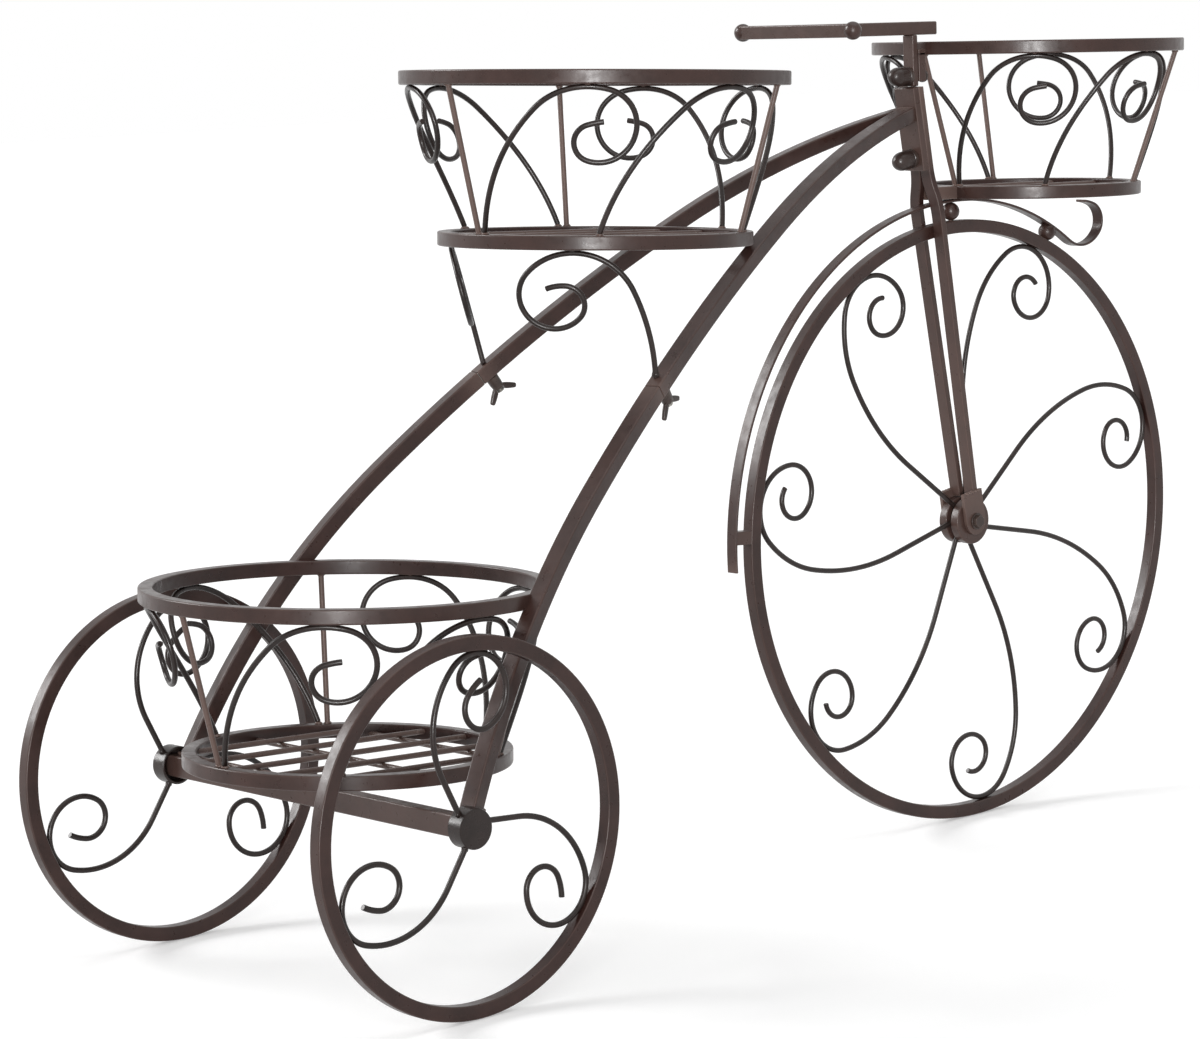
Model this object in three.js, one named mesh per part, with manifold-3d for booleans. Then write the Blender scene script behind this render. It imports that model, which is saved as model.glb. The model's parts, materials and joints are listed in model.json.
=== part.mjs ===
// Tricycle-shaped planter of bent bar and wire: three round baskets for pots, one low between
// the rear wheels, one on the rails behind the fork and one in front of the handlebar.
// Millimetres and degrees. +X points forwards, +Y to the left and +Z up; the origin is on the
// ground, in the middle of the length and width.

import * as THREE from 'three';
import { mergeVertices } from 'three/addons/utils/BufferGeometryUtils.js';
import Module from 'manifold-3d';

const wasm = await Module();
wasm.setup();

// Overall sizes
const wheelbase = 642.3;
const rearTrack = 327;
const rearWheelRadius = 125;
const frontWheelRadius = 234.5;

// Stock that the object is bent from
const wireDiameter = 4;
const basketBar = 10;
const rimBar = 10;
const boltDiameter = 6;

// Clearances: between welded or seated pieces, and round a bolt in its hole
const seatGap = 0.3;
const boltClearance = 0.3;
const cutOverrun = 30;

// Facets: how far a flat may lie inside the true curve, and the sides of round things
const wireSagitta = 0.6;
const barSagitta = 0.3;
const wireSides = 6;
const ringSides = 40;
const frontRimSides = 56;
const turnedSides = 20;
const smallSides = 12;
const samples = 240;
const railSamples = 9600;
const fittingPasses = 8;

// Rear wheels
const rearHubRadius = 13.5;
const rearHubWidth = 13;
const rearHubWall = 1.8;
const rearHubFace = 2.2;
const rearSpokeCount = 3;
const rearSpokeOffset = 2.5;
const rearSpokeHeading = -4;
const rearSpokeRunShare = 0.266;
const rearSpokeBendShares = [[0.541, -72], [0.23, -199], [0.127, -155], [0.348, -21]];

// Axle bar between the rear hubs
const axleBarDepth = 10;
const axleBarHeight = 15;
const axleBarWall = 1.5;

// Front wheel
const frontHubRadius = 18;
const frontHubDiscWidth = 7.5;
const frontSpokeCount = 7;
const frontSpokeRootRadius = 9;
const frontSpokeRootOffset = -3;
const frontSpokeStart = -64.8;
const frontSpokeHeading = 2.3;
const frontSpokeRunShare = 0.31;
const frontSpokeBendShares = [[0.85, -27.5], [0.39, -34.6], [0.149, -133], [0.094, -145], [0.064, -168]];

// Rails from the axle bar to the fork, where their lines meet below its top
const railWidth = 12.3;
const railDepth = 11.2;
const railWall = 1.2;
const railFootSpread = 156.1;
const railFootAhead = 9.4;
const railHeadAhead = 3.8;
const railHeadDrop = 19.1;
const railBendShares = [[0.905, -24.1], [2.486, -10.7], [1.102, -17.8]];
const railSeamShare = 0.4506;
const spigotReach = 32;

// Wing nut on the stud under each rail
const studFromSeam = 9;
const studTip = 3;
const wingNutHubRadius = 4.8;
const wingNutHubHeight = 10;
const wingThickness = 3.6;
const wingWidth = 4.2;
const wingReach = 15;
const wingSplay = 52;

// Fork, head and handlebar
const forkLean = 8.49;
const forkAheadOfAxle = 3.9;
const forkBarDepth = 5.5;
const forkBarWidth = 10;
const forkFootSpread = 7.4;
const forkFootClearance = 1;
const forkBendBelowFender = 8.3;
const forkFenderClearance = 1;
const forkBendRadius = 62;
const forkTopAboveRim = 106;
const dropoutRadius = 10.6;
const dropoutThickness = 3;
const dropoutLap = 6;
const stemWidth = 10.7;
const handlebarSize = 10;
const handlebarRise = 38.7;
const handlebarTilt = 0.7;
const handlebarReach = 120;
const handlebarNose = 25;
const crossbarSpan = 115.8;
const crossbarBall = 6.7;
const headPlateThickness = 6;
const headPlateWidth = 20.8;
const headPlateBelow = 10;
const lowerBoltDrop = 54;
const upperBoltRise = 7.5;
const capNutRadius = 7.3;
const capNutLength = 20;
const capNutSeatLength = 11;
const headBoltHeadRadius = 5;
const headBoltHeadLength = 4;
const axleNutRadius = 5;
const axleNutLength = 4;

// Fender strip over the front wheel
const fenderGap = 14.3;
const fenderWidth = 10;
const fenderThickness = 2;
const fenderStart = 182.2;
const fenderSweep = 94.5;
const fenderTailShares = [[0.86, -33], [0.108, 83.4], [0.058, 110], [0.169, 16]];
const fenderClipAngle = 176.3;
const fenderBallAngles = [91.6, 64.6];

// Baskets: tilt forwards, sizes, the uprights' angles, how far the scroll beside each upright is
// clear of it, and the angles of the scrolls between them
const floorSpacing = 37.5;
const floorDrop = 3.7;
const floorLapShare = 0.9;

const broadSide = {
  uprights: [60, 180, 300], besideGaps: [2.5, 2.5, 2.5], between: [110, 230, 350],
  scrollHeading: 73,
  scrollBendShares: [[1.555, -36.8], [0.474, -64.3], [0.245, -180.8], [0.124, -145.6], [0.54, -11.5]],
};
const rearBasket = {
  name: 'rear_basket', tilt: 2.67, topRadius: 139.7, bottomRadius: 111.9, depth: 112.5, ...broadSide,
};
const middleBasket = {
  name: 'middle_basket', tilt: 2.65, topRadius: 138.4, bottomRadius: 111.9, depth: 112.5, ...broadSide,
};
const frontBasket = {
  name: 'front_basket', tilt: 1.32,
  topRadius: 121.9, bottomRadius: 88.3, depth: 110.8,
  uprights: [61.7, 180, 300], besideGaps: [0.3, 0.4, 1.1], between: [110, 231, 351.3],
  scrollHeading: 79,
  scrollBendShares: [[1.46, -36], [0.395, -78.4], [0.251, -166.8], [0.136, -161], [1, -4.4]],
};
const lugWidth = 12;
const upperLugHeight = 22;
const upperLugGrip = 7.2;

// Where the baskets sit: heights of the rear one over the axle and of the front one over the
// fork's top, and how the rear and middle ones lie on the rails
const rearBasketRise = 139.5;
const rearBasketBite = 1.33;
const middleBasketAheadShare = 0.4285;
const middleBasketRise = 135.55;
const frontBasketRise = 30.46;

// Scroll legs that carry the back of the middle basket
const legAngle = 219.8;
const legInset = 9.5;
const legRise = 81.5;
const legHeading = 92.3;
const legLead = 16;
const legBendShares = [[1.92, 21.2], [0.543, 114], [0.293, 182.5], [0.167, 126.3], [0.377, 26.2]];

const up = 90;
const fullTurn = 360;
const wireRadius = wireDiameter / 2;
const boltRadius = boltDiameter / 2;
const boltHoleRadius = boltRadius + boltClearance;
const rad = THREE.MathUtils.degToRad;
const degrees = THREE.MathUtils.radToDeg;

// Lines

// A straight stretch, and an arc that turns left where its sweep is positive.
const run = (length) => ({ length, turn: 0 });
const arc = (radius, sweep) => ({ length: radius * Math.abs(rad(sweep)), turn: rad(sweep) });
const bends = (shares, size) => shares.map(([share, sweep]) => arc(share * size, sweep));

// The place reached from `from` after a share of its stretch.
function ahead(from, share) {
  const turn = from.turn * share;
  const half = turn / 2;
  const chord = from.length * share * (half === 0 ? 1 : Math.sin(half) / half);
  const heading = from.heading + half;
  return {
    x: from.x + chord * Math.cos(heading),
    y: from.y + chord * Math.sin(heading),
    heading: from.heading + turn,
  };
}

// Straight stretches and arcs laid end to end in the XY plane, as bar is bent on a jig.
class BentLine extends THREE.Curve {
  constructor(start, heading, stretches, sagitta) {
    super();
    this.stations = [];
    this.length = stretches.reduce((sum, { length }) => sum + length, 0);
    let place = { x: start[0], y: start[1], heading: rad(heading) };
    for (const { length, turn } of stretches) {
      const radius = Math.abs(length / turn);
      const facet = turn === 0 ? Infinity : 2 * Math.acos(Math.max(0, 1 - sagitta / radius));
      const count = Math.max(1, Math.ceil(Math.abs(turn) / facet));
      for (let i = 0; i < count; i += 1) {
        const station = { ...place, length: length / count, turn: turn / count };
        this.stations.push(station);
        place = ahead(station, 1);
      }
    }
    this.steps = this.stations.length;
  }

  getPoint(t, target = new THREE.Vector3()) {
    const along = Math.min(Math.max(t, 0), 1) * this.steps;
    const index = Math.min(Math.floor(along), this.steps - 1);
    const { x, y } = ahead(this.stations[index], along - index);
    return target.set(x, y, 0);
  }

  getUtoTmapping(u) {
    return u;
  }

  // The curve parameter at a distance along the line.
  parameterAt(distance) {
    let left = distance;
    for (const [index, { length }] of this.stations.entries()) {
      if (left <= length) return (index + left / length) / this.steps;
      left -= length;
    }
    return 1;
  }
}

// A line drawn on the flat pattern of a basket's side, rolled up: x runs round, y up the slant.
class RolledLine extends THREE.Curve {
  constructor(line, side, angle) {
    super();
    Object.assign(this, { line, side, angle });
    this.steps = line.steps;
  }

  getPoint(t, target = new THREE.Vector3()) {
    const flat = this.line.getPoint(t, target);
    const reach = Math.hypot(flat.x, this.side.apex + flat.y);
    const round = rad(this.angle) + Math.atan2(flat.x, this.side.apex + flat.y) / this.side.sine;
    const radius = reach * this.side.sine;
    const height = (reach - this.side.apex) * this.side.cosine;
    return target.set(radius * Math.cos(round), radius * Math.sin(round), height);
  }

  getUtoTmapping(u) {
    return u;
  }
}

// The greatest value of `measure` over a line, and where it is.
function peak(line, measure) {
  let best = { value: -Infinity };
  for (let i = 0; i <= samples; i += 1) {
    const point = line.getPoint(i / samples);
    if (measure(point) > best.value) best = { value: measure(point), point };
  }
  return best;
}

// The line that `build` makes at the scale where its greatest `measure` is `target`.
function fitted(build, measure, target) {
  let scale = target;
  for (let pass = 0; pass < fittingPasses; pass += 1) {
    scale *= target / peak(build(scale), measure).value;
  }
  return build(scale);
}

// Arcs from `from` to `to`, in the proportions of `shares`, with a straight overrun before them.
function bentBetween(from, to, shares, overrun) {
  const unit = new BentLine([0, 0], 0, bends(shares, 1), barSagitta).getPoint(1);
  const reach = [to[0] - from[0], to[1] - from[1]];
  const size = Math.hypot(...reach) / Math.hypot(unit.x, unit.y);
  const heading = Math.atan2(reach[1], reach[0]) - Math.atan2(unit.y, unit.x);
  const start = [from[0] - overrun * Math.cos(heading), from[1] - overrun * Math.sin(heading)];
  return new BentLine(start, degrees(heading), [run(overrun), ...bends(shares, size)], barSagitta);
}

// Sections and solids

function roundSection(radius, sides) {
  const corner = (i) => rad((fullTurn * i) / sides);
  const points = Array.from({ length: sides }, (_, i) => new THREE.Vector2(
    radius * Math.cos(corner(i)),
    radius * Math.sin(corner(i)),
  ));
  return new THREE.Shape(points);
}

function boxSection(width, depth, Kind = THREE.Shape) {
  return new Kind([[-1, -1], [1, -1], [1, 1], [-1, 1]].map(
    ([x, y]) => new THREE.Vector2((x * width) / 2, (y * depth) / 2),
  ));
}

function tubeSection(width, depth, wall) {
  const section = boxSection(width, depth);
  section.holes.push(boxSection(width - 2 * wall, depth - 2 * wall, THREE.Path));
  return section;
}

const swept = (section, line) => new THREE.ExtrudeGeometry(section, {
  extrudePath: line, steps: line.steps, bevelEnabled: false,
});
const wire = (line) => swept(roundSection(wireRadius, wireSides), line);
const straightWire = (from, to) => wire(Object.assign(new THREE.LineCurve3(from, to), { steps: 1 }));

// A square-section ring about Y whose flats touch the true circles, with a flat at the bottom.
function ring(outer, width, depth, sides) {
  const flat = 1 / Math.cos(Math.PI / sides);
  const corner = (radius, y) => new THREE.Vector2(radius * flat, y);
  const half = width / 2;
  const inner = outer - depth;
  const profile = [
    corner(inner, -half), corner(outer, -half), corner(outer, half), corner(inner, half), corner(inner, -half),
  ];
  return new THREE.LatheGeometry(profile, sides, Math.PI / sides);
}

// A turned disc about Y, with a bore where one is given.
function disc(radius, width, bore, sides) {
  if (bore > 0) return ring(radius, width, radius - bore, sides);
  return new THREE.CylinderGeometry(radius, radius, width, sides);
}

function solid(geometry) {
  const bare = geometry.clone();
  bare.deleteAttribute('normal');
  bare.deleteAttribute('uv');
  const merged = mergeVertices(bare);
  return new wasm.Manifold(new wasm.Mesh({
    numProp: 3,
    vertProperties: merged.attributes.position.array,
    triVerts: Uint32Array.from(merged.index.array),
  }));
}

function surface(body) {
  const mesh = body.getMesh();
  const geometry = new THREE.BufferGeometry();
  geometry.setAttribute('position', new THREE.BufferAttribute(mesh.vertProperties, 3));
  geometry.setIndex(new THREE.BufferAttribute(mesh.triVerts, 1));
  geometry.computeVertexNormals();
  return geometry;
}

const joined = (...geometries) => surface(geometries.map(solid).reduce((sum, next) => sum.add(next)));
const remainder = (geometry, cutters) => cutters.map(solid).reduce(
  (left, next) => left.subtract(next),
  solid(geometry),
);
const cut = (geometry, ...cutters) => surface(remainder(geometry, cutters));

// The biggest piece that the cutters leave of a body that they part.
const cutOff = (geometry, ...cutters) => surface(remainder(geometry, cutters).decompose().reduce(
  (biggest, next) => (next.volume() > biggest.volume() ? next : biggest),
));

// Frames

const move = (x, y, z) => new THREE.Matrix4().makeTranslation(x, y, z);
const turnX = (angle) => new THREE.Matrix4().makeRotationX(rad(angle));
const turnY = (angle) => new THREE.Matrix4().makeRotationY(rad(angle));
const turnZ = (angle) => new THREE.Matrix4().makeRotationZ(rad(angle));
const chained = (...frames) => frames.reduce((all, next) => all.multiply(next), new THREE.Matrix4());
const inFrame = (geometry, frame) => geometry.clone().applyMatrix4(frame);
const box = (x, y, z, frame) => new THREE.BoxGeometry(x, y, z).applyMatrix4(frame);
const inverse = (frame) => frame.clone().invert();

// Colours

const coat = () => new THREE.MeshStandardMaterial({ color: 0x4a3c39, roughness: 0.55, metalness: 0.1 });
const coatedWire = () => new THREE.MeshStandardMaterial({ color: 0x4c4442, roughness: 0.5, metalness: 0.1 });
const bareSteel = () => new THREE.MeshStandardMaterial({ color: 0x7c7a76, roughness: 0.4, metalness: 0.8 });

const planter = new THREE.Group();
planter.position.x = -(wheelbase + frontWheelRadius - rearWheelRadius) / 2;

function add(name, geometry, frame, material = coat()) {
  const mesh = new THREE.Mesh(geometry, material);
  mesh.name = name;
  mesh.applyMatrix4(frame);
  planter.add(mesh);
}

const sides = [{ side: 'left', sign: 1 }, { side: 'right', sign: -1 }];
const rearAxle = move(0, 0, rearWheelRadius);
const frontAxle = move(wheelbase, 0, frontWheelRadius);
const upright = turnX(up);
const hubInnerFace = (rearTrack - rearHubWidth) / 2;
const axleBarTop = rearWheelRadius + axleBarHeight / 2;

// Fork plane: X across the planter to the left, Y up the lean and Z forwards
const forkFrame = chained(
  move(wheelbase + forkAheadOfAxle, 0, frontWheelRadius),
  turnY(-forkLean),
  turnZ(up),
  turnX(up),
);
const forkTop = frontWheelRadius / Math.cos(rad(forkLean)) + forkTopAboveRim;
const forkTopPlace = new THREE.Vector3(0, forkTop, 0).applyMatrix4(forkFrame);
const headBack = forkBarDepth / 2 + headPlateThickness;
const lowerBoltHeight = forkTop - lowerBoltDrop;
const upperBoltHeight = forkTopPlace.z + upperBoltRise;

// Rails: one line in a vertical plane, toed in so that the two meet at the fork

const railHead = { x: forkTopPlace.x + railHeadAhead, z: forkTopPlace.z - railHeadDrop };
const railToeIn = degrees(Math.atan2(railFootSpread, railHead.x));
const railFrame = (sign) => chained(move(0, sign * railFootSpread, 0), turnZ(-sign * railToeIn), turnX(up));
const railLine = bentBetween(
  [railFootAhead, axleBarTop],
  [Math.hypot(railHead.x, railFootSpread), railHead.z],
  railBendShares,
  cutOverrun,
);
const railSeam = cutOverrun + railSeamShare * (railLine.length - cutOverrun);
const railStud = railSeam + studFromSeam;
const wingNutSeat = railDepth / 2 + barSagitta + seatGap;

// The rail's outside grown by the seat gap, in the planter's frame.
const railKeepout = sides.map(({ sign }) => inFrame(
  swept(boxSection(railWidth + 2 * seatGap, railDepth + 2 * seatGap), railLine),
  railFrame(sign),
));

// The frame at a distance along the rail: X runs along it and Y up through its top face.
function onRail(distance) {
  const t = railLine.parameterAt(distance);
  const place = railLine.getPoint(t);
  const heading = railLine.getTangent(t);
  return chained(move(place.x, place.y, 0), turnZ(degrees(Math.atan2(heading.y, heading.x))));
}

// How far along its plane and how high the rail is where `measure` of a place on it reaches `target`.
function railWhere(measure, target) {
  const point = new THREE.Vector3();
  let best = Infinity;
  let found;
  for (let i = 0; i <= railSamples; i += 1) {
    railLine.getPoint(i / railSamples, point);
    const miss = Math.abs(measure(point) - target);
    if (miss < best) [best, found] = [miss, point.clone()];
  }
  return found;
}

// A block over all of the rail that lies on one side of a cut square to it.
const restOfRail = (distance, sign) => box(2 * wheelbase, 2 * wheelbase, 2 * wheelbase, chained(
  onRail(distance), move(sign * wheelbase, 0, 0),
));

function rails() {
  const whole = swept(tubeSection(railWidth, railDepth, railWall), railLine);
  const lower = cut(whole, restOfRail(railSeam, 1));
  const upper = cut(whole, restOfRail(railSeam + seatGap, -1));
  const studHole = inFrame(disc(boltHoleRadius, 2 * railDepth, 0, smallSides), chained(
    onRail(railStud), move(0, -railDepth - railWall, 0),
  ));
  for (const { side, sign } of sides) {
    const frame = railFrame(sign);
    const back = inverse(frame);
    const ground = box(cutOverrun * 2, cutOverrun * 2, cutOverrun * 2, chained(
      back, move(0, sign * railFootSpread, axleBarTop + seatGap - cutOverrun),
    ));
    const hub = inFrame(disc(rearHubRadius + seatGap, rearHubWidth + 2 * seatGap, 0, turnedSides), chained(
      back, move(0, (sign * rearTrack) / 2, rearWheelRadius),
    ));
    add(`lower_rail_${side}`, cut(lower, ground, hub), frame);
    const head = box(cutOverrun * 2, forkTop, cutOverrun * 2, chained(
      back, forkFrame, move(0, forkTop / 2, cutOverrun - headBack - seatGap),
    ));
    const partner = box(wheelbase, cutOverrun * 2, cutOverrun * 2, chained(
      back, move(wheelbase, sign * (seatGap / 2 - cutOverrun), forkTopPlace.z - cutOverrun),
    ));
    add(`upper_rail_${side}`, cut(upper, studHole, head, partner), frame);
  }
}

// The spigot that joins the two halves of a rail, with the stud welded through it.
function spigots() {
  const slack = 2 * (railWall + seatGap);
  const core = cut(
    swept(boxSection(railWidth - slack, railDepth - slack), railLine),
    restOfRail(railSeam - spigotReach, -1),
    restOfRail(railSeam + spigotReach, 1),
  );
  const studLength = wingNutSeat + wingNutHubHeight + studTip;
  const stud = inFrame(disc(boltRadius, studLength, 0, smallSides), chained(
    onRail(railStud), move(0, -studLength / 2, 0),
  ));
  const spigot = joined(core, stud);
  for (const { side, sign } of sides) add(`rail_spigot_${side}`, spigot, railFrame(sign), bareSteel());
}

// Wing nuts: a bored hub with two wings splayed away from the rail
function wingNuts() {
  const hub = disc(wingNutHubRadius, wingNutHubHeight, boltHoleRadius, smallSides);
  const wing = (sign) => box(wingWidth, wingReach, wingThickness, chained(
    move(0, (wingWidth - wingNutHubHeight) / 2, 0),
    turnZ(sign * (2 * up - wingSplay)),
    move(0, wingReach / 2, 0),
  ));
  const bore = disc(boltHoleRadius, 4 * wingNutHubHeight, 0, smallSides);
  const nut = cut(joined(hub, wing(1), wing(-1)), bore);
  for (const { side, sign } of sides) {
    add(`wing_nut_${side}`, nut, chained(
      railFrame(sign), onRail(railStud), move(0, -wingNutSeat - wingNutHubHeight / 2, 0),
    ));
  }
}

// Rear wheels

function rearSpokeLine() {
  const root = rearHubRadius - wireRadius;
  const reach = rearWheelRadius - rimBar - seatGap - wireRadius;
  const build = (size) => new BentLine(
    [root, rearSpokeOffset],
    rearSpokeHeading,
    [run(rearSpokeRunShare * size), ...bends(rearSpokeBendShares, size)],
    wireSagitta,
  );
  return fitted(build, (point) => Math.hypot(point.x, point.y), reach);
}

// A cup about Y: its closed face is on +Y, and the axle bar's end goes into the other side.
function rearHub() {
  const half = rearHubWidth / 2;
  const inner = rearHubRadius - rearHubWall;
  const floor = half - rearHubFace;
  return new THREE.LatheGeometry([
    [0, floor], [inner, floor], [inner, -half], [rearHubRadius, -half], [rearHubRadius, half], [0, half],
  ].map(([radius, y]) => new THREE.Vector2(radius, y)), turnedSides);
}

function rearWheels() {
  const rim = ring(rearWheelRadius, rimBar, rimBar, ringSides);
  const spoke = wire(rearSpokeLine());
  const spokes = Array.from({ length: rearSpokeCount }, (_, i) => inFrame(
    spoke, chained(upright, turnZ((fullTurn * i) / rearSpokeCount)),
  ));
  for (const { side, sign } of sides) {
    const wheel = chained(move(0, (sign * rearTrack) / 2, 0), rearAxle);
    add(`rear_rim_${side}`, rim, wheel);
    const cup = inFrame(rearHub(), turnX(sign > 0 ? 0 : 2 * up));
    add(`rear_hub_and_spokes_${side}`, joined(cup, ...spokes), wheel, coatedWire());
  }
  const reach = hubInnerFace + rearHubWidth - rearHubFace - seatGap;
  const bar = new THREE.LineCurve3(new THREE.Vector3(0, -reach, 0), new THREE.Vector3(0, reach, 0));
  const tube = tubeSection(axleBarHeight, axleBarDepth, axleBarWall);
  add('rear_axle_bar', swept(tube, Object.assign(bar, { steps: 1 })), rearAxle);
}

// Front wheel

const frontHubGap = wireDiameter + 2 * seatGap;
const frontHubWidth = frontHubGap + 2 * frontHubDiscWidth;

function frontSpokeLine() {
  const reach = frontWheelRadius - rimBar - seatGap - wireRadius;
  const build = (size) => new BentLine(
    [frontSpokeRootRadius, frontSpokeRootOffset],
    frontSpokeHeading,
    [run(frontSpokeRunShare * size), ...bends(frontSpokeBendShares, size)],
    wireSagitta,
  );
  return fitted(build, (point) => Math.hypot(point.x, point.y), reach);
}

function frontWheel() {
  add('front_rim', ring(frontWheelRadius, rimBar, rimBar, frontRimSides), frontAxle);
  const spoke = wire(frontSpokeLine());
  for (let i = 0; i < frontSpokeCount; i += 1) {
    const turn = frontSpokeStart + (fullTurn * i) / frontSpokeCount;
    add(`front_spoke_${i + 1}`, spoke, chained(frontAxle, upright, turnZ(turn)), coatedWire());
  }
  const hub = disc(frontHubRadius, frontHubDiscWidth, boltHoleRadius, turnedSides);
  const boltEnd = frontHubWidth / 2 + dropoutThickness + 2 * seatGap;
  for (const { side, sign } of sides) {
    const across = (frontHubGap + frontHubDiscWidth) / 2;
    add(`front_hub_disc_${side}`, hub, chained(frontAxle, move(0, sign * across, 0)));
  }
  const shank = boltEnd * 2 + axleNutLength + headBoltHeadLength;
  const bolt = joined(
    inFrame(disc(boltRadius, shank, 0, smallSides), move(0, (axleNutLength - headBoltHeadLength) / 2, 0)),
    inFrame(disc(axleNutRadius, headBoltHeadLength, 0, smallSides), move(
      0, -boltEnd - headBoltHeadLength / 2, 0,
    )),
  );
  add('front_axle_bolt', bolt, frontAxle);
  const nut = disc(axleNutRadius, axleNutLength, boltHoleRadius, wireSides);
  add('front_axle_nut', nut, chained(frontAxle, move(0, boltEnd + axleNutLength / 2, 0)));
}

// Fork legs with their dropouts, stem and handlebar

function forkLegLine(sign) {
  const closeSpread = forkBarWidth / 2 + seatGap;
  const bendAt = fenderRadius - forkBendBelowFender;
  const foot = frontHubRadius + seatGap + forkFootClearance;
  const spread = (fenderWidth + forkBarWidth) / 2 + forkFenderClearance;
  const splay = degrees(Math.atan((spread - forkFootSpread) / (bendAt - foot)));
  const inward = spread - closeSpread;
  const sweep = degrees(Math.acos(1 - inward / (2 * forkBendRadius)));
  const straight = (bendAt - foot) / Math.cos(rad(splay));
  const bentHeight = 2 * forkBendRadius * Math.sin(rad(sweep));
  return new BentLine(
    [sign * forkFootSpread, foot],
    up - sign * splay,
    [
      run(straight),
      arc(forkBendRadius, sign * (sweep + splay)),
      arc(forkBendRadius, -sign * sweep),
      run(forkTop - bendAt - bentHeight),
    ],
    barSagitta,
  );
}

function fork() {
  const back = inverse(forkFrame);
  const axleHole = inFrame(disc(boltHoleRadius, frontWheelRadius, 0, smallSides), chained(back, frontAxle));
  const boltHole = inFrame(disc(boltHoleRadius, forkBarDepth * 4, 0, smallSides), chained(
    move(0, lowerBoltHeight, 0), turnX(up),
  ));
  const stemFoot = box(stemWidth * 2, stemWidth * 2, stemWidth * 2, chained(
    back, move(forkTopPlace.x, 0, forkTopPlace.z - seatGap + stemWidth),
  ));
  const plateMiddle = frontHubWidth / 2 + seatGap + dropoutThickness / 2;
  const lap = frontHubRadius + dropoutLap;
  for (const { side, sign } of sides) {
    const bar = swept(boxSection(forkBarDepth, forkBarWidth), forkLegLine(sign));
    const plate = joined(
      inFrame(disc(dropoutRadius, dropoutThickness, 0, turnedSides), chained(
        back, frontAxle, move(0, sign * plateMiddle, 0),
      )),
      box(dropoutRadius * 2, dropoutThickness, lap, chained(
        back, frontAxle, turnY(-forkLean), move(0, sign * plateMiddle, lap / 2),
      )),
    );
    add(`fork_leg_${side}`, cut(joined(bar, plate), axleHole, boltHole, stemFoot), forkFrame);
  }
  const handlebarBottom = forkTopPlace.z + handlebarRise;
  const stemHeight = handlebarRise - 1.5 * seatGap;
  const stem = box(forkBarDepth, stemWidth, stemHeight, move(0, 0, stemHeight / 2));
  const upperHole = inFrame(disc(boltHoleRadius, forkBarDepth * 4, 0, smallSides), chained(
    move(0, 0, upperBoltRise), turnZ(up),
  ));
  add('stem', cut(stem, upperHole), move(forkTopPlace.x, 0, forkTopPlace.z));
  const long = handlebarReach + handlebarNose;
  const bars = joined(
    box(long, handlebarSize, handlebarSize, move(handlebarNose - long / 2, 0, 0)),
    box(handlebarSize, crossbarSpan, handlebarSize, move(-handlebarReach, 0, 0)),
    ...sides.map(({ sign }) => new THREE.SphereGeometry(crossbarBall, smallSides, smallSides / 2)
      .translate(-handlebarReach, (sign * crossbarSpan) / 2, 0)),
  );
  add('handlebar', bars, chained(
    move(forkTopPlace.x, 0, handlebarBottom + handlebarSize / 2), turnY(handlebarTilt),
  ));
}

// Head plate that the rails are welded to, and the two bolts with domed nuts

function capNut() {
  const straight = capNutSeatLength;
  const dome = capNutLength - straight;
  const bore = boltHoleRadius;
  const profile = [new THREE.Vector2(bore, 0), new THREE.Vector2(capNutRadius, 0)];
  for (let i = 0; i < smallSides / 2; i += 1) {
    const angle = rad((up * i) / (smallSides / 2));
    profile.push(new THREE.Vector2(capNutRadius * Math.cos(angle), straight + dome * Math.sin(angle)));
  }
  profile.push(new THREE.Vector2(0, capNutLength));
  profile.push(new THREE.Vector2(0, straight));
  profile.push(new THREE.Vector2(bore, straight));
  profile.push(new THREE.Vector2(bore, 0));
  return new THREE.LatheGeometry(profile, turnedSides);
}

// A head bolt runs through `grip` from its nut's seat to its own head. Y points to the nut.
function headBolt(grip) {
  const tail = grip + headBoltHeadLength / 2;
  const shank = tail + capNutSeatLength - seatGap;
  return joined(
    inFrame(disc(boltRadius, shank, 0, smallSides), move(0, shank / 2 - tail, 0)),
    inFrame(disc(headBoltHeadRadius, headBoltHeadLength, 0, smallSides), move(
      0, -grip - headBoltHeadLength / 2, 0,
    )),
  );
}

function head() {
  const height = lowerBoltDrop + headPlateBelow;
  const plate = box(headPlateWidth, height, headPlateThickness - seatGap, move(
    0, forkTop - height / 2, -headBack + (headPlateThickness - seatGap) / 2,
  ));
  const hole = inFrame(disc(boltHoleRadius, headPlateThickness * 4, 0, smallSides), chained(
    move(0, lowerBoltHeight, -headBack), turnX(up),
  ));
  add('head_plate', cut(plate, hole), forkFrame);
  const lowerSeat = chained(forkFrame, move(0, lowerBoltHeight, -headBack - seatGap), turnX(-up));
  add('lower_cap_nut', capNut(), lowerSeat);
  add('lower_head_bolt', headBolt(headPlateThickness + forkBarDepth + 2 * seatGap), lowerSeat);
  const upperSeat = chained(move(forkTopPlace.x - forkBarDepth / 2 - seatGap, 0, upperBoltHeight), turnZ(up));
  add('upper_cap_nut', capNut(), upperSeat);
  add('upper_head_bolt', headBolt(forkBarDepth + upperLugGrip + 3 * seatGap), upperSeat);
}

// Fender: a strip bent round the wheel, then away from it into a curl

const fenderRadius = frontWheelRadius + fenderGap + fenderThickness / 2;
const rimCornerRadius = frontWheelRadius / Math.cos(Math.PI / frontRimSides);

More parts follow.
